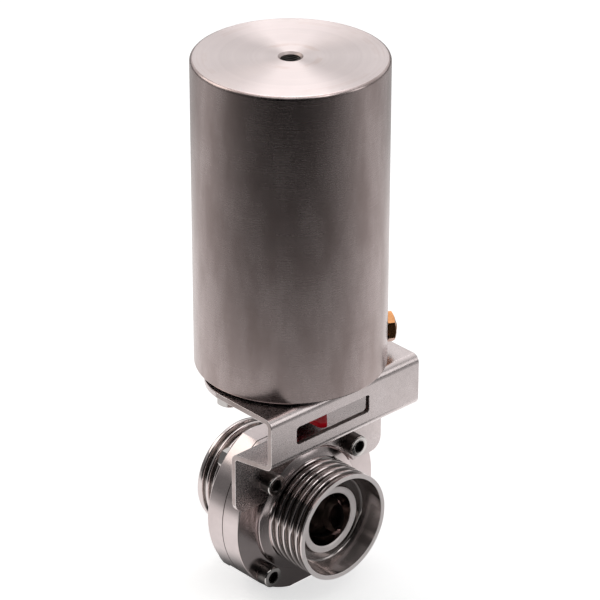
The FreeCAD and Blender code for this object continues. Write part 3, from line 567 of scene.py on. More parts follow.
AXIS = (0.0, PORT_FACE / 1000.0, 0.0)
BRIGHT = {"grain_bump": 0.0, "cloud": 0.03, "lines": 0.0, "uneven": 0.03}  # turned bright, hardly a grain
MAT = {
    "body_steel": metal("body_satin", (0.60, 0.525, 0.52), 0.2, grain=(1, 0.3, 1), grain_scale=700.0,
                        grain_bump=0.015),
    "thread_steel": metal("thread_polished", (0.66, 0.59, 0.58), 0.06, **BRIGHT),
    "mouth_steel": metal("mouth_turned", (0.42, 0.38, 0.37), 0.15, 0.95, "Y", grain_scale=500.0,
                         centre=AXIS, **BRIGHT),
    # Painted shade: a dark colour for the thread's roots, for the shade in the grooves.
    "root_shade": metal("thread_root_painted_shade", (0.24, 0.21, 0.20), 0.12, **BRIGHT),
    "ring_steel": plain("ring_turned", (0.92, 0.85, 0.84), 0.4, 0.2, grain_bump=0.05, cloud=0.04),
    "cylinder_steel": metal("cylinder_brushed", (0.48, 0.40, 0.39), 0.27, 0.6, "Z", grain=(0.01, 0.01, 1),
                            grain_scale=1800.0, grain_bump=0.002, cloud=0.16, lines=0.02,
                            cloud_scale=(85.0, 85.0, 26.0), uneven=0.05, centre=AXIS),
    "top_steel": turned_top("top_turned", (0.73, 0.64, 0.63), 0.34, AXIS),
    "bracket_steel": metal("bracket_satin", (0.66, 0.59, 0.585), 0.27, grain_scale=1100.0, grain_bump=0.02,
                           lines=0.05),
    # Rough, darker cut edges at the sheet's ends; the same colour on the rim of the can's tapped hole is
    # painted shade.
    "cut_edge_and_hole_rim_shade": metal("cut_edge_and_hole_rim_shade", (0.46, 0.40, 0.39), 0.42, grain=(1, 1, 0.4), grain_scale=1800.0,
                      grain_bump=0.8, cloud=0.25),
    "cut_rim": metal("cut_rim", (0.78, 0.72, 0.71), 0.25, grain_scale=1500.0, cloud=0.1),
    # Painted shade: near black for the split groove at the top flat and for the walls of the bracket's
    # window.
    "split_and_window_shade": metal("split_and_window_shade", (0.10, 0.085, 0.08), 0.5, grain_scale=1500.0, cloud=0.2),
    # Painted shade: near black for the screw sockets and for the inside of the tapped hole.
    "socket_and_hole_shade": metal("socket_and_hole_shade", (0.10, 0.092, 0.09), 0.35, grain_scale=1500.0, cloud=0.1),
    # Painted shade: the disc is near black so that the bore looks dark.
    "disc_steel": metal("disc_painted_shade", (0.09, 0.075, 0.065), 0.3, grain_bump=0.03),
    # Painted shade: the sides of the screw heads are near black; the sides are plain, not knurled.
    "head_side_shade": metal("head_side_painted_shade", (0.13, 0.12, 0.115), 0.35, grain_scale=1800.0, grain_bump=0.3),
    "screw_steel": metal("screw_polished", (0.60, 0.57, 0.555), 0.17, grain_bump=0.05),
    "coupling_steel": metal("coupling_blackened", (0.07, 0.062, 0.06), 0.4, 0.5, "Z", grain=(0.05, 0.05, 2),
                            grain_scale=1500.0, centre=AXIS),
    "cam_steel": metal("cam_ground", (0.45, 0.44, 0.43), 0.35),
    "spring_steel": plain("spring_drawn", (0.25, 0.25, 0.26), 0.4, 1.0),
    # Painted shade: the base is dark so that the gap under the can looks black.
    "base_aluminium": metal("base_painted_shade", (0.16, 0.16, 0.165), 0.45, 0.5, "Z", grain=(0.05, 0.05, 2),
                            grain_scale=1500.0, centre=AXIS),
    "bearing_bronze": metal("bearing_bronze", (0.55, 0.34, 0.16), 0.35),
    "breather_bronze": plain("breather_bronze", (0.35, 0.165, 0.07), 0.25, 1.0, grain_scale=1800.0,
                             grain_bump=0.2, cloud=0.2),
    "breather_dome": plain("breather_sintered", (0.42, 0.22, 0.08), 0.5, 1.0, grain_scale=1500.0,
                           grain_bump=1.0, cloud=0.3),
    "seal_rubber": plain("seal_rubber", (0.02, 0.02, 0.02), 0.6),
    "bush_plastic": plain("bush_plastic", (0.75, 0.73, 0.68), 0.5),
    "pointer_red": plain("pointer_red", (0.60, 0.005, 0.016), 0.35, grain_scale=900.0, grain_bump=0.04,
                         cloud=0.05, gloss=0.15),
}


def dress(ob, body, slot, *others, node):
    """Gives a new piece its slot's material and others and its body, and hides the CAD node it stands for."""
    ob.data.materials.clear()
    for m in (slot, *others):
        ob.data.materials.append(MAT[m])
    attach(ob, body)
    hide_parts(node)
    return ob


def paint(ob, name, test):
    """Gives the faces that pass a test on (centre in mm, normal) a material that the piece has."""
    index = ob.data.materials.find(MAT[name].name)
    for p in ob.data.polygons:
        c = Vector(p.center) * 1000.0
        if test(Vector((c.x, c.y - PORT_FACE, c.z)), p.normal):
            p.material_index = index


def off_pipe(c):
    """How far a point is from the pipe's axis."""
    return math.hypot(c.x, c.z)


def off_stem(c):
    """How far a point is from the stem's axis."""
    return math.hypot(c.x, c.y)


def about_stem(angle):
    """A turn about the stem's axis."""
    middle = Matrix.Translation(at(0, 0, 0))
    return middle @ Matrix.Rotation(angle, 4, "Z") @ middle.inverted()


# valve body
def body_outline(inset):
    """The body's outline in (x, z), moved in by inset."""
    r = OUTLINE_R - inset
    top = TOP_FLAT - inset - OUTLINE_DZ
    low = BOTTOM_FLAT + inset - OUTLINE_DZ
    a_top = math.degrees(math.asin(top / r))
    a_low = math.degrees(math.asin(low / r))
    right = arc(0, OUTLINE_DZ, r, a_low, a_top, 44)
    left = arc(0, OUTLINE_DZ, r, 180 - a_top, 180 - a_low, 44)
    return right + left


def band(a, b, n):
    """The faces between two closed rings of n points that start at a and b."""
    return [(a + j, a + (j + 1) % n, b + (j + 1) % n, b + j) for j in range(n)]


def on_circle(points, r, y):
    """The points, moved along their radius to a circle about the pipe's axis."""
    return [(r * math.cos(a), y, r * math.sin(a)) for a in (math.atan2(z, x) for x, z in points)]


def stem_hole(verts, faces, n):
    """The half circle that the stem's hole takes out of the top flat and of its split chamfer.
    The body's rings have n points."""
    right, left, rim, half = n // 2 - 1, n // 2, len(verts), 16
    for z in (TOP_FLAT, SEAL_R):
        for k in range(half + 1):
            a = math.pi + math.pi * k / half
            verts.append((BUSH_R * math.cos(a), min(BUSH_R * math.sin(a), -SPLIT_CHAMFER), z))
    verts += [(-BUSH_R, 0.0, TOP_FLAT - SPLIT_CHAMFER), (BUSH_R, 0.0, TOP_FLAT - SPLIT_CHAMFER)]
    faces.append((2 * n + right, 2 * n + left, 3 * n + left, *range(rim, rim + half + 1), 3 * n + right))
    faces.append((3 * n + left, 4 * n + left, len(verts) - 2, rim))
    faces.append((rim + half, len(verts) - 1, 4 * n + right, 3 * n + right))
    faces += [(rim + k, rim + k + 1, rim + half + 2 + k, rim + half + 1 + k) for k in range(half)]


def body_plate():
    """The flat part of a half, with the stem's hole and the seal's pocket."""
    rings = [(RIM_CHAMFER, -HALF_T), (RIM_CHAMFER * 0.3, -HALF_T + RIM_CHAMFER * 0.3),
             (0.0, -HALF_T + RIM_CHAMFER), (0.0, -SPLIT_CHAMFER), (SPLIT_CHAMFER, 0.0)]
    outline = [body_outline(inset) for inset, _ in rings]
    n = len(outline[0])
    top = n // 2 - 1
    verts, faces = [], []
    for (_, y), points in zip(rings, outline):
        verts += [(x, y, z) for x, z in points]
    for i in range(len(rings) - 1):
        faces += [f for j, f in enumerate(band(i * n, (i + 1) * n, n)) if j != top or i < 2]
    stem_hole(verts, faces, n)
    front = len(verts)
    verts += on_circle(outline[0], BOSS_R - 0.1, -HALF_T)
    faces += band(0, front, n)
    ring = (len(rings) - 1) * n
    for r, y in ((SEAL_R, 0.0), (SEAL_R, -SEAL_HALF), (BORE_R, -SEAL_HALF)):
        start = len(verts)
        verts += on_circle(outline[-1], r, y)
        faces += band(ring, start, n)
        ring = start
    return make("plate", verts, faces, 25.0)


def body_boss():
    """The round boss between the plate and the thread, with its rounded edge and corner."""
    return lathe("boss", [
        (BOSS_R - 0.1, -HALF_T + 0.3), (BOSS_R, -HALF_T - 0.15), (BOSS_R, -BOSS_Y + 0.45),
        (BOSS_R - 0.25, -BOSS_Y + 0.1), (BOSS_R - 0.9, -BOSS_Y - 0.25), (THREAD_R + 1.3, -NECK_Y + 0.05),
        (THREAD_R + 0.5, -NECK_Y - 0.2), (THREAD_R, -NECK_Y - 0.45)],
        "Y", steps=180, closed=False, smooth=25.0)


def body_thread():
    """The round thread of the union nut."""
    return threaded("thread", THREAD_R, THREAD_PITCH, -PORT_FACE + END_LAND, -NECK_Y - 0.45, FIRST_CREST,
                    lambda t: round_profile(t, THREAD_PITCH, THREAD_ROUND), 1.3, 1.6)


def body_port():
    """The end land, the mouth with its floor, the lip and the bore."""
    floor_y, lip_y = -PORT_FACE + FLOOR_DEPTH, -PORT_FACE + LIP_DEPTH
    profile = [(THREAD_R, -PORT_FACE + END_LAND), (THREAD_R, -PORT_FACE + 0.25),
               (THREAD_R - 0.08, -PORT_FACE + 0.08), (THREAD_R - 0.25, -PORT_FACE),
               (MOUTH_R + 0.2, -PORT_FACE), (MOUTH_R + 0.05, -PORT_FACE + 0.06),
               (MOUTH_R - 0.05, -PORT_FACE + 0.25)]
    profile += arc(MOUTH_FLOOR_R - 1.0, floor_y - MOUTH_ROUND, MOUTH_ROUND, 0, 90, 6)
    profile += arc(LIP_R + LIP_ROUND, floor_y - LIP_ROUND, LIP_ROUND, 90, 180, 3)
    profile += [(LIP_R, lip_y + 0.35), (LIP_R - 0.1, lip_y + 0.1), (LIP_R - 0.35, lip_y),
                (BORE_R + 0.8, lip_y), (BORE_R + 0.55, lip_y + 0.1), (BORE_R + 0.1, lip_y + 0.6),
                (BORE_R, lip_y + 0.9), (BORE_R, -SEAL_HALF)]
    return lathe("port", profile, "Y", steps=180, closed=False, smooth=32.0)


def body_half(name, side):
    """side is -1 for the front half and 1 for the rear half, which is the front half turned round."""
    whole = joined(name, [body_plate(), body_boss(), body_thread(), body_port()], 32.0)
    if side > 0:
        whole.data.transform(about_stem(math.pi))
    return whole


def dress_body(ob, node):
    """Tells the faces of a half apart by their distance from the pipe's axis and from the split."""
    dress(ob, "housing", "body_steel", "thread_steel", "mouth_steel", "split_and_window_shade", "ring_steel", "root_shade",
          node=node)
    mouth, floor, lip = MOUTH_R + 0.1, PORT_FACE - FLOOR_DEPTH, PORT_FACE - LIP_DEPTH
    paint(ob, "thread_steel", lambda c, n: abs(c.y) > NECK_Y - 0.2 and off_pipe(c) < THREAD_R + 0.6)
    paint(ob, "mouth_steel", lambda c, n: abs(c.y) > floor - 1.0 and off_pipe(c) < mouth)
    # Painted shade: the split groove near the top flat is made near black.
    paint(ob, "split_and_window_shade", lambda c, n: abs(c.y) < SPLIT_CHAMFER and off_pipe(c) > TOP_FLAT - 3.0)
    # Painted shade: the thread's roots are made dark for the shade between the crests.
    paint(ob, "root_shade", lambda c, n: NECK_Y < abs(c.y) < PORT_FACE - 1.0
          and mouth < off_pipe(c) < THREAD_R - 0.8)
    paint(ob, "ring_steel", lambda c, n: abs(c.y) > PORT_FACE - 0.3
          or (abs(abs(c.y) - lip) < 0.4 and off_pipe(c) < LIP_R + 0.1))


# fasteners
HEX_STEPS = 72  # points round a hexagon


def hex_radius(a, af):
    """How far the side of a hexagon is from its middle at the angle a."""
    step = math.pi / 3
    return af / 2 / math.cos((a % step) - step / 2)


def hex_head(name, af, h, axis, centre, flip, bore=0.0, both=False, turn=0.0, crown=0.95):
    """A hexagon with turned chamfers on its outer face, and on both faces if asked. crown is the turned
    face's share of the width across flats, and flip, 1 or -1, is the way the hexagon stands."""
    flat = af / 2 * crown

    def row(a):
        rim = hex_radius(a + turn, af)
        drop = (rim - flat) * math.tan(math.radians(HEX_CHAMFER))
        seat = (flat, 0.0) if both else ((rim + bore) / 2, 0.0)
        pairs = [(bore, 0.0), seat, (rim, drop if both else 0.0), (rim, h - drop), (flat, h), (bore, h)]
        return [(r, flip * s) for r, s in pairs]

    return swept(name, row, axis, centre, HEX_STEPS, bore > 0, 24.0)


def socket_screw(name, x, z, seat):
    """A socket head with its rolled edge, chamfered hexagon socket and conical floor."""
    front = -M6_HEAD_H
    profile = [(M6_R, 0.0), (M6_HEAD_R - 0.15, 0.0), (M6_HEAD_R, -0.15), (M6_HEAD_R, front + 0.55),
               (M6_HEAD_R - 0.08, front + 0.3), (M6_HEAD_R - 0.3, front + 0.08), (M6_HEAD_R - 0.6, front),
               (M6_SOCKET_AF / 2 * 1.2, front)]
    hexes = [(1.02, front + 0.25), (1.0, front + 0.45), (1.0, front + M6_SOCKET_DEPTH)]

    def row(a):
        socket = [(hex_radius(a + M6_SOCKET_TURN, M6_SOCKET_AF) * k, s) for k, s in hexes]
        return [(r, s + seat) for r, s in (*profile, *socket, (0.0, front + M6_SOCKET_DEPTH + 0.8))]

    return swept(name, row, "Y", (x, 0, z), HEX_STEPS, False, 28.0)


def screw_places():
    """The (x, z) of the four screws through the body."""
    return [(sx * SCREW_X, sz * SCREW_Z) for sx in (-1, 1) for sz in (-1, 1)]


def body_screws():
    """Socket screws with their threaded ends behind the nuts. The upper two also hold the bracket's tab."""
    end = HALF_T + M6_NUT_H + M6_PAST_NUT
    pieces = []
    for x, z in screw_places():
        pieces.append(socket_screw("head", x, z, -HALF_T - (SHEET if z > 0 else 0.0)))
        pieces.append(threaded("shank", M6_R, M6_PITCH, HALF_T - 1.0, end - 0.5, HALF_T,
                               lambda t: vee_profile(t, M6_PITCH, VEE_DEPTH), 0.4, 0.4, centre=(x, 0, z),
                               steps=36, per_pitch=6))
        pieces.append(lathe("point", [(M6_R, end - 0.5), (M6_R - 0.5, end), (0.0, end)], "Y", (x, 0, z),
                            steps=36, closed=False))
    ob = dress(joined("socket_screws", pieces, 28.0), "housing", "screw_steel", "socket_and_hole_shade", "head_side_shade",
               node="body_screws")
    inside = M6_SOCKET_AF * 0.58 + 0.1
    # Painted shade: the hexagon sockets are made near black.
    paint(ob, "socket_and_hole_shade", lambda c, n: c.y < -HALF_T and any(
        math.hypot(c.x - x, c.z - z) < inside for x, z in screw_places()))
    # Painted shade: the sides of the screw heads are made near black.
    paint(ob, "head_side_shade", lambda c, n: c.y < -HALF_T and abs(n.y) < 0.1)


def body_nuts():
    """Nuts behind the rear half."""
    pieces = [hex_head("nut", M6_NUT_AF, M6_NUT_H, "Y", (x, HALF_T, z), 1.0, M6_R, True)
              for x, z in screw_places()]
    dress(joined("hex_nuts", pieces, 24.0), "housing", "screw_steel", node="body_nuts")


def bracket_bolts():
    """Hexagon bolts with washers, from below through the bracket's plate."""
    high = PLATE_TOP - SHEET
    low = high - WASHER_T
    bolts, washers = [], []
    for sx in (-1, 1):
        bolts.append(hex_head("bolt", M6_NUT_AF, M6_BOLT_H, "Z", (sx * BOLT_X, 0, low), -1.0, turn=0.4))
        washers.append(lathe("washer", [
            (M6_HOLE_R, low), (WASHER_R - 0.15, low), (WASHER_R, low + 0.15), (WASHER_R, high - 0.15),
            (WASHER_R - 0.15, high), (M6_HOLE_R, high)], "Z", (sx * BOLT_X, 0, 0), steps=64))
    dress(joined("hex_bolts", bolts, 24.0), "housing", "screw_steel", node="bracket_bolts")
    dress(joined("flat_washers", washers, 28.0), "housing", "screw_steel", node="bracket_washers")


# bracket
def sheet_path():
    """The outer line of the folded sheet, in (y, z): plate, web, sloping flange and tab."""
    slope = math.tan(math.radians(FLANGE_SLOPE))
    tab_y = -HALF_T - SHEET
    low = FLANGE_TOP - SHEET / math.cos(math.radians(FLANGE_SLOPE))
    return [(PLATE_REAR, PLATE_TOP), (WEB_Y, PLATE_TOP), (WEB_Y, low + (tab_y - WEB_Y) * slope),
            (tab_y, low), (tab_y, TAB_BOTTOM)]


def offset(path, distance):
    """The path moved to its left, with its straight lines met again at the corners."""
    lines = []
    for a, b in zip(path, path[1:]):
        d = Vector((b[0] - a[0], b[1] - a[1])).normalized()
        lines.append((Vector(a) + Vector((-d.y, d.x)) * distance, d))
    out = [tuple(lines[0][0])]
    for (p, d), (q, e) in zip(lines, lines[1:]):
        cross = d.x * e.y - d.y * e.x
        t = ((q.x - p.x) * e.y - (q.y - p.y) * e.x) / cross
        out.append(tuple(p + d * t))
    p, d = Vector(path[-1]), lines[-1][1]
    out.append((p.x - d.y * distance, p.y + d.x * distance))
    return out


def rounded(path, radii, steps=14):
    """The path with its inner corners turned into arcs."""
    out = [path[0]]
    for i in range(1, len(path) - 1):
        p = Vector(path[i])
        a = (Vector(path[i - 1]) - p).normalized()
        b = (Vector(path[i + 1]) - p).normalized()
        half = a.angle(b) / 2
        r = radii[i - 1]
        centre = p + (a + b).normalized() * (r / math.sin(half))
        t0 = p + a * (r / math.tan(half)) - centre
        t1 = p + b * (r / math.tan(half)) - centre
        a0 = math.atan2(t0.y, t0.x)
        turn = (math.atan2(t1.y, t1.x) - a0 + math.pi) % (2 * math.pi) - math.pi
        for k in range(steps + 1):
            w = a0 + turn * k / steps
            out.append((centre.x + r * math.cos(w), centre.y + r * math.sin(w)))
    return out + [path[-1]]


def rounded_box(x0, x1, z0, z1, r, steps=6):
    """The outline of a rectangle with round corners."""
    centres = ((x1 - r, z1 - r), (x0 + r, z1 - r), (x0 + r, z0 + r), (x1 - r, z0 + r))
    return [p for k, (x, z) in enumerate(centres) for p in arc(x, z, r, 90 * k, 90 * k + 90, steps)]


def corner_tool(side, axis, edge, way, r, reach, steps):
    """What rounds a corner of the sheet at x = side * HALF_L. The corner's other side is at edge, and way,
    1 or -1, points out of the sheet there."""
    u, v = HALF_L - r, edge - way * r
    outline = [(u, edge + PAST * way), (HALF_L + PAST, edge + PAST * way), (HALF_L + PAST, v)]
    outline += arc(u, v, r, 0, 90 * way, steps)
    return prism("corner", [(side * a, b) for a, b in outline], axis, *reach)


def bracket_tools():
    """The window, the round cuts of the tab and the plate, the bolt holes and the rounded corners."""
    through_tab = (-HALF_T - 2 * SHEET, -HALF_T + SHEET)
    through_plate = (PLATE_TOP - 2 * SHEET, PLATE_TOP + SHEET)
    window = rounded_box(*WINDOW_X, *WINDOW_Z, WINDOW_R)
    tools = [prism("window", window, "Y", WEB_Y - SHEET, WEB_Y + 2 * SHEET),
             rod("tab_cut", TAB_CUT_R, "Y", *through_tab, steps=160),
             rod("plate_hole", PLATE_HOLE_R, "Z", *through_plate, steps=64)]
    for side in (-1, 1):
        tools.append(rod("bolt_hole", M6_HOLE_R, "Z", *through_plate, (side * BOLT_X, 0, 0)))
        tools.append(corner_tool(side, "Y", TAB_BOTTOM, -1, TAB_CORNER_R, through_tab, 12))
        tools.append(corner_tool(side, "Z", PLATE_REAR, 1, PLATE_CORNER_R, through_plate, 16))
    return tools


def bracket():
    """One folded sheet, with rough cut edges at both ends, and painted shade: a near black edge round the
    window.
    """
    outer = sheet_path()
    inner = offset(outer, SHEET)
    small = BEND_R - SHEET
    ring = rounded(outer, (BEND_R, BEND_R, small)) + list(reversed(rounded(inner, (small, small, BEND_R))))
    ob = cut(prism("bracket_sheet", ring, "X", -HALF_L, HALF_L, 20.0), bracket_tools(), 20.0)
    bevelled(ob, 0.22, 2, 35.0)
    dress(ob, "housing", "bracket_steel", "cut_edge_and_hole_rim_shade", "split_and_window_shade", "cut_rim", node="bracket")
    end, near = HALF_L - 0.3, 0.1
    paint(ob, "cut_rim", lambda c, n: abs(c.x) > end)
    paint(ob, "cut_edge_and_hole_rim_shade", lambda c, n: abs(c.x) > end and abs(n.x) > 0.98)
    # Painted shade: the walls of the window are made near black.
    paint(ob, "split_and_window_shade", lambda c, n: WEB_Y + 0.3 < c.y < WEB_Y + SHEET - 0.3 and abs(n.y) < 0.3
          and WINDOW_X[0] - near < c.x < WINDOW_X[1] + near
          and WINDOW_Z[0] - near < c.z < WINDOW_Z[1] + near)


# pointer, actuator, breather, spring
def pointer():
    """A red finger with a slanting end, on a hub round the coupling."""
    left, tip = POINTER_LEFT, WEB_Y + SHEET + POINTER_GAP
    plan = [(left, -6.6), (left, tip + 2.6), (left + 0.35, tip + 1.6), (left + 1.1, tip + 0.7),
            (left + 2.0, tip + 0.2), (left + 3.0, tip), (left + 3.4, tip + 0.2), (left + 9.8, tip + 7.3),
            (HUB_R - 1.0, -5.0), (0.0, 0.0)]
    low, high, top = POINTER_Z, POINTER_Z + POINTER_T, POINTER_Z + HUB_H
    finger = bevelled(prism("finger", plan, "Z", low, high), 0.3, 3)
    wide, neck, e = HUB_R, HUB_NECK_R, 0.3
    hub = lathe("hub", [(HUB_BORE_R, low), (wide - e, low), (wide, low + e), (wide, high - e),
                        (wide - e, high), (neck + 0.4, high), (neck, high + 0.4), (neck, top - e),
                        (neck - e, top), (HUB_BORE_R, top)], "Z", steps=96)
    dress(joined("red_pointer", [finger, hub]), "turning_stem", "pointer_red", node="pointer")


def cylinder():
    """A closed turned can with a tapped hole in its head."""
    e, floor, edge = TOP_EDGE_R, CYL_TOP - HEAD_T, CYL_TOP - AIR_CHAMFER
    side = [(CYL_IN_R, CYL_BOTTOM), (CYL_R - 0.4, CYL_BOTTOM), (CYL_R - 0.1, CYL_BOTTOM + 0.15),
            (CYL_R, CYL_BOTTOM + 0.5)]
    side += [(CYL_R, CYL_BOTTOM + (CYL_TOP - e - CYL_BOTTOM) * k / 8.0) for k in range(1, 8)]
    side += arc(CYL_R - e, CYL_TOP - e, e, 0, 90, 8)
    side += [(r, CYL_TOP) for r in (36.0, 28.0, 20.0, 12.0, AIR_HOLE_R + 1.15)]
    side += [(AIR_HOLE_R + 0.95, CYL_TOP - 0.1), (AIR_HOLE_R + 0.05, CYL_TOP - 1.0), (AIR_HOLE_R, edge)]
    shell = lathe("shell", side, "Z", steps=96, closed=False, smooth=28.0, phase=0.5)
    inside = lathe("inside", [(AIR_HOLE_R, floor), (CYL_IN_R, floor), (CYL_IN_R, CYL_BOTTOM)], "Z",
                   steps=96, closed=False, phase=0.5)
    tapped = threaded("tapped", AIR_HOLE_R - 0.25, AIR_PITCH, floor, edge, CYL_TOP - 5.0,
                      lambda t: vee_profile(t, AIR_PITCH, VEE_DEPTH), 0.3, 0.3, axis="Z", steps=72,
                      per_pitch=8, sign=1.0, inward=-1.0)
    ob = joined("actuator_can", [shell, inside, tapped], 28.0)
    dress(ob, "housing", "cylinder_steel", "top_steel", "cut_edge_and_hole_rim_shade", "socket_and_hole_shade", node="actuator_cylinder")
    paint(ob, "top_steel", lambda c, n: c.z > CYL_TOP - 0.02 and n.z > 0.9)
    # Painted shade: the tapped hole's chamfered rim gets the darker cut edge colour.
    paint(ob, "cut_edge_and_hole_rim_shade", lambda c, n: c.z > floor and off_stem(c) < AIR_HOLE_R + 1.14)
    # Painted shade: the inside of the tapped hole is made near black.
    paint(ob, "socket_and_hole_shade", lambda c, n: floor < c.z < edge and off_stem(c) < AIR_HOLE_R + 0.5)


def breather():
    """A bronze hexagon with a sintered dome. It is made towards +X and then turned about the stem."""
    face = CYL_R + BREATHER_GAP
    out = face + BREATHER_HEX_H
    low = out - 0.4
    centre = (0, 0, BREATHER_Z)
    hexagon = hex_head("hexagon", BREATHER_AF, BREATHER_HEX_H, "X", (face, 0, BREATHER_Z), 1.0,
                       turn=BREATHER_TURN, crown=BREATHER_CROWN)
    neck = lathe("neck", [(BREATHER_R, CYL_IN_R - 2.6), (BREATHER_R, face + 0.3)], "X", centre, steps=48,
                 closed=False)
    rim = BREATHER_R + 0.1
    profile = [(rim, low), (rim, out + 0.1)]
    profile += [(r, face + DOME_DROP + s) for r, s in arc(0.0, 0.0, DOME_R, 30, 90, 8)
                if face + DOME_DROP + s >= low]
    dome = lathe("dome", profile + [(0.0, face + DOME_DROP + DOME_R)], "X", centre, steps=64, closed=False)
    bronze = len(hexagon.data.polygons) + len(neck.data.polygons)
    ob = joined("breather_filter", [hexagon, neck, dome], 24.0)
    ob.data.transform(about_stem(math.radians(BREATHER_ANGLE)))
    dress(ob, "housing", "breather_bronze", "breather_dome", node="breather")
    for p in ob.data.polygons:
        p.material_index = 0 if p.index < bronze else 1


def spring():
    """Round wire, coiled between the ends of the CAD spring. The real spring shortens with the piston."""
    low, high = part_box("return_spring")
    z0, z1 = low.z * 1000.0 + WIRE_R, high.z * 1000.0 - WIRE_R
    count, sides = int(36 * SPRING_TURNS), 12
    verts, faces = [], []
    for i in range(count + 1):
        f = i / count
        a = 2 * math.pi * SPRING_TURNS * f
        for k in range(sides):
            b = 2 * math.pi * k / sides
            r = SPRING_R + WIRE_R * math.cos(b)
            verts.append((r * math.cos(a), r * math.sin(a), z0 + (z1 - z0) * f + WIRE_R * math.sin(b)))
    for i in range(count):
        faces += band(i * sides, (i + 1) * sides, sides)
    faces += [tuple(range(sides)), tuple(range(count * sides + sides - 1, count * sides - 1, -1))]
    ob = dress(make("coil_spring", verts, faces, 40.0), "housing", "spring_steel", node="return_spring")
    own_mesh(ob)


dress_body(body_half("front_half", -1), "front_body")
dress_body(body_half("rear_half", 1), "rear_body")
body_screws()
body_nuts()
bracket_bolts()
bracket()
pointer()
cylinder()
breather()
spring()

# CAD nodes that keep their shape
for entry in frame["record"]["subparts"]:
    ob = frame["nodes"][entry["node"]]
    if not ob.hide_render:
        ob.data.materials.clear()
        ob.data.materials.append(MAT[entry["material_slot"]])


# stage, light, camera
FLOOR_Z = (BOTTOM_FLAT - 0.3) / 1000.0  # m, as the other values of the stage
FLOOR_SIZE = 12.0
FLOOR_GLOW = 0.6
WORLD_LIGHT = 0.40
BLACK = {"Base Color": (0.004, 0.004, 0.004, 1.0), "Roughness": 1.0, "Specular IOR Level": 0.0}
# Each black cloth is (radius, share hidden); it lies to one side, counted from the camera's own.
WIDE_CLOTH = ((0.15, 0.0), (0.21, 0.20), (0.29, 0.74), (0.39, 0.95), (0.50, 1.0))
WIDE_SIDE = {"turn": -3.0, "sharp": 1.4}
# The small cloth and the one under the object are painted shadow: black that stands in for the object's
# shadow on the floor near the ports and under it.
NEAR_PAINTED_SHADOW = ((0.035, 0.72), (0.105, 0.9), (0.135, 1.0), (0.169, 1.0), (0.179, 0.0), (1.0, 0.0))
NEAR_SHADOW_SIDE = {"turn": 38.5, "edge": (50.0, 53.0)}
UNDER_PAINTED_SHADOW = ((0.03, 0.9), (0.055, 0.0), (1.0, 0.0))
UNDER_SHADOW_SIDE = {"turn": 0.0, "sharp": 8.0}
FAR_CLOTH = ((0.33, 0.0), (0.42, 0.2), (0.52, 0.52), (0.9, 0.6), (1.5, 0.0))
FLAG_LIFT = 0.0005
FLAG_NEAR, FLAG_FAR, FLAG_HIGH = 0.002, 2.0, 2.6
CARD_FAR = 1.9
CARD_HIGH = 0.85
CARD_FULL = 0.65  # of its height, up to which the card keeps its full cover
CARD_COVER = 0.78
CARD_SIDE = {"turn": 180.0, "edge": (37.0, 100.0)}
CARD_THIN = 0.55  # what is left of its cover away from that side
LAMP_FAR = 1.3
LAMP_AIM = 100.0  # mm above the pipe's axis


def toward(azimuth, elevation=0.0):
    """The direction from the object to a place round it; azimuth 0 is -Y, counted as the camera's is."""
    a, e = math.radians(azimuth), math.radians(elevation)
    return Vector((math.sin(a) * math.cos(e), -math.cos(a) * math.cos(e), math.sin(e)))


def floor_white():
    """Takes shadows. Part of its white is its own light, for the camera and for what mirrors it."""
    n = Finish("floor_white")
    n.shader({"Base Color": (0.8, 0.8, 0.8, 1.0), "Roughness": 0.9, "Specular IOR Level": 0.0})
    shine = n.add("ShaderNodeEmission")
    n.link(n.math("MULTIPLY", n.seen(), FLOOR_GLOW), shine.inputs["Strength"])
    total = n.add("ShaderNodeAddShader")
    n.link(n.bsdf.outputs[0], total.inputs[0])
    n.link(shine.outputs[0], total.inputs[1])
    n.link(total.outputs[0], n.surface)
    return n.mat


def floor():
    """A wide level square under the object."""
    me = bpy.data.meshes.new("floor")
    h = FLOOR_SIZE / 2
    me.from_pydata([(-h, -h, 0), (h, -h, 0), (h, h, 0), (-h, h, 0)], [], [(0, 1, 2, 3)])
    me.materials.append(floor_white())
    ob = linked("floor", me)
    ob.location = (0, PORT_FACE / 1000.0, FLOOR_Z)


def side_share(n, place, turn, sharp=None, edge=None):
    """1 towards one side and less away from it: by a power of the turn, or within two angles in degrees."""
    away = n.add("ShaderNodeVectorMath", operation="NORMALIZE")
    n.link(place, away.inputs[0])
    ahead = n.add("ShaderNodeVectorMath", operation="DOT_PRODUCT")
    n.link(away.outputs[0], ahead.inputs[0])
    ahead.inputs[1].default_value = toward(CAM_AZ + turn)
    if edge:
        full, none = (math.cos(math.radians(a)) for a in edge)
        return n.span(ahead.outputs["Value"], none, full, 0.0, 1.0)
    behind = n.span(ahead.outputs["Value"], -1.0, 1.0, 1.0, 0.0)
    return n.math("SUBTRACT", 1.0, n.math("POWER", behind, sharp))


def cloth_cover(n, place, stops):
    """How much a black cloth hides, by the radius."""
    end = stops[-1][0]
    cover = n.add("ShaderNodeValToRGB")
    cover.color_ramp.interpolation = "EASE"
    n.link(n.math("DIVIDE", n.length(place), end), cover.inputs["Fac"])
    elements = cover.color_ramp.elements
    for i, (radius, share) in enumerate(stops):
        stop = elements[i] if i < 2 else elements.new(radius / end)
        stop.position = radius / end
        stop.color = (share, share, share, 1.0)
    return cover.outputs["Color"]


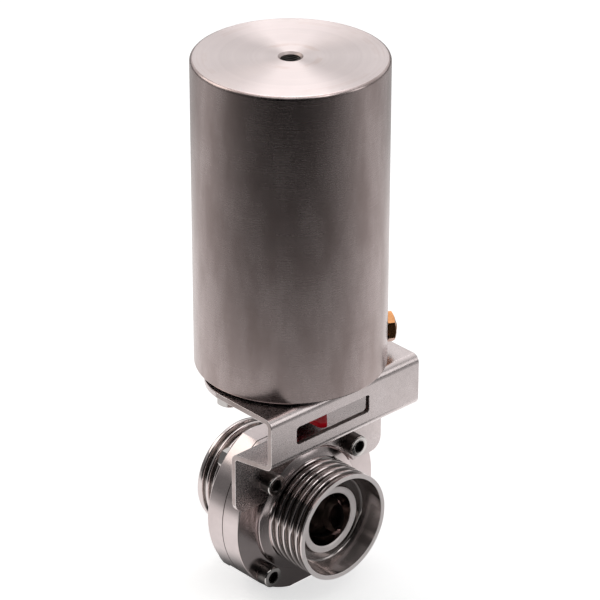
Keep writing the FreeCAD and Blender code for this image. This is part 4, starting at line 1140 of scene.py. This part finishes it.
def flag_cover(n):
    """What the cloths hide: a wide one in front, a small one near the ports and one under the object, both
    painted shadow, and a thin one all round, far out."""
    spot = n.coords((1.0, 1.0, 0.0))
    hidden = cloth_cover(n, spot, FAR_CLOTH)
    for stops, side in ((WIDE_CLOTH, WIDE_SIDE), (NEAR_PAINTED_SHADOW, NEAR_SHADOW_SIDE), (UNDER_PAINTED_SHADOW, UNDER_SHADOW_SIDE)):
        part = n.math("MULTIPLY", cloth_cover(n, spot, stops), side_share(n, spot, **side))
        hidden = n.math("MAXIMUM", hidden, part)
    return hidden


def card_cover(n):
    """What the card hides: less near its upper edge, and less at the sides than behind."""
    place = n.add("ShaderNodeSeparateXYZ")
    n.link(n.coords((1.0, 1.0, 1.0)), place.inputs[0])
    cover = n.span(place.outputs["Z"], CARD_HIGH * CARD_FULL, CARD_HIGH, CARD_COVER, 0.0, "SMOOTHSTEP")
    behind = side_share(n, n.coords((1.0, 1.0, 0.0)), **CARD_SIDE)
    return n.math("MULTIPLY", cover, n.span(behind, 0.0, 1.0, CARD_THIN, 1.0))


def reflected_only(name, rings, share, steps=96):
    """A round black stage piece from (radius, height) pairs, which only what mirrors it sees. share gives
    the part of what lies behind it that it hides."""
    n = Finish(name + "_black")
    n.shader(BLACK)
    clear = n.add("ShaderNodeBsdfTransparent")
    mix = n.add("ShaderNodeMixShader")
    n.link(share(n), mix.inputs[0])
    n.link(clear.outputs[0], mix.inputs[1])
    n.link(n.bsdf.outputs[0], mix.inputs[2])
    n.link(mix.outputs[0], n.surface)
    verts, faces = [], []
    for i, (r, z) in enumerate(rings):
        verts += [(r * math.cos(2 * math.pi * j / steps), r * math.sin(2 * math.pi * j / steps), z)
                  for j in range(steps)]
        if i:
            faces += band((i - 1) * steps, i * steps, steps)
    me = bpy.data.meshes.new(name)
    me.from_pydata(verts, [], faces)
    me.materials.append(n.mat)
    ob = linked(name, me)
    ob.location = (0, PORT_FACE / 1000.0, FLOOR_Z + FLAG_LIFT)
    for ray in ("camera", "diffuse", "shadow", "transmission"):
        setattr(ob, "visible_" + ray, False)


def studio_world():
    """A white backdrop all round, for the camera and for what mirrors it, at a plain level as a light."""
    world = bpy.data.worlds.new("studio")
    bpy.context.scene.world = world
    n = Nodes(world)
    back = n.tree.nodes["Background"]
    back.inputs["Color"].default_value = (1.0, 1.0, 1.0, 1.0)
    n.link(n.span(n.seen(), 0.0, 1.0, WORLD_LIGHT, 1.0), back.inputs["Strength"])


def lamp(name, turn, elevation, size, watts, colour=(1.0, 1.0, 1.0)):
    """A softbox that looks at the middle of the object. turn is counted from the camera's side."""
    back = toward(CAM_AZ + turn, elevation)
    light = bpy.data.lights.new(name, "AREA")
    light.shape = "RECTANGLE"
    light.size, light.size_y = size
    light.energy = watts
    light.color = colour
    ob = linked(name, light)
    ob.location = at(0, 0, LAMP_AIM) + back * LAMP_FAR
    ob.rotation_mode = "QUATERNION"
    ob.rotation_quaternion = back.to_track_quat("Z", "Y")


def camera():
    """The photograph's camera."""
    back = toward(CAM_AZ, CAM_EL)
    right = toward(CAM_AZ + 90.0)
    up = back.cross(right)
    roll = math.radians(CAM_ROLL)
    right, up = right * math.cos(roll) + up * math.sin(roll), up * math.cos(roll) - right * math.sin(roll)
    data = bpy.data.cameras.new("photo_camera")
    data.sensor_width = 36.0
    data.lens = CAM_FOCAL_PX / FRAME_PX * data.sensor_width
    data.clip_start, data.clip_end = 0.1, 50.0
    ob = linked("photo_camera", data)
    place = right * CAM_SIDE + up * CAM_UP + back * CAM_DISTANCE
    ob.matrix_world = Matrix.Translation(at(*place)) @ Matrix((right, up, back)).transposed().to_4x4()
    bpy.context.scene.camera = ob


floor()
reflected_only("flag", [(FLAG_NEAR, 0.0), (FLAG_FAR, 0.0), (FLAG_FAR, FLAG_HIGH)], flag_cover)
reflected_only("card", [(CARD_FAR, 0.0), (CARD_FAR, CARD_HIGH)], card_cover)
studio_world()
lamp("lamp_top", 180, 62, (0.6, 0.6), 2.5)
lamp("lamp_left", -108, 42, (0.85, 0.7), 2.8, (1.0, 0.94, 0.87))
lamp("lamp_right", 80, 22, (0.35, 0.7), 1.0)
lamp("lamp_front", 50, 54, (0.3, 0.4), 1.2)
camera()
bpy.context.scene.view_settings.view_transform = "Standard"
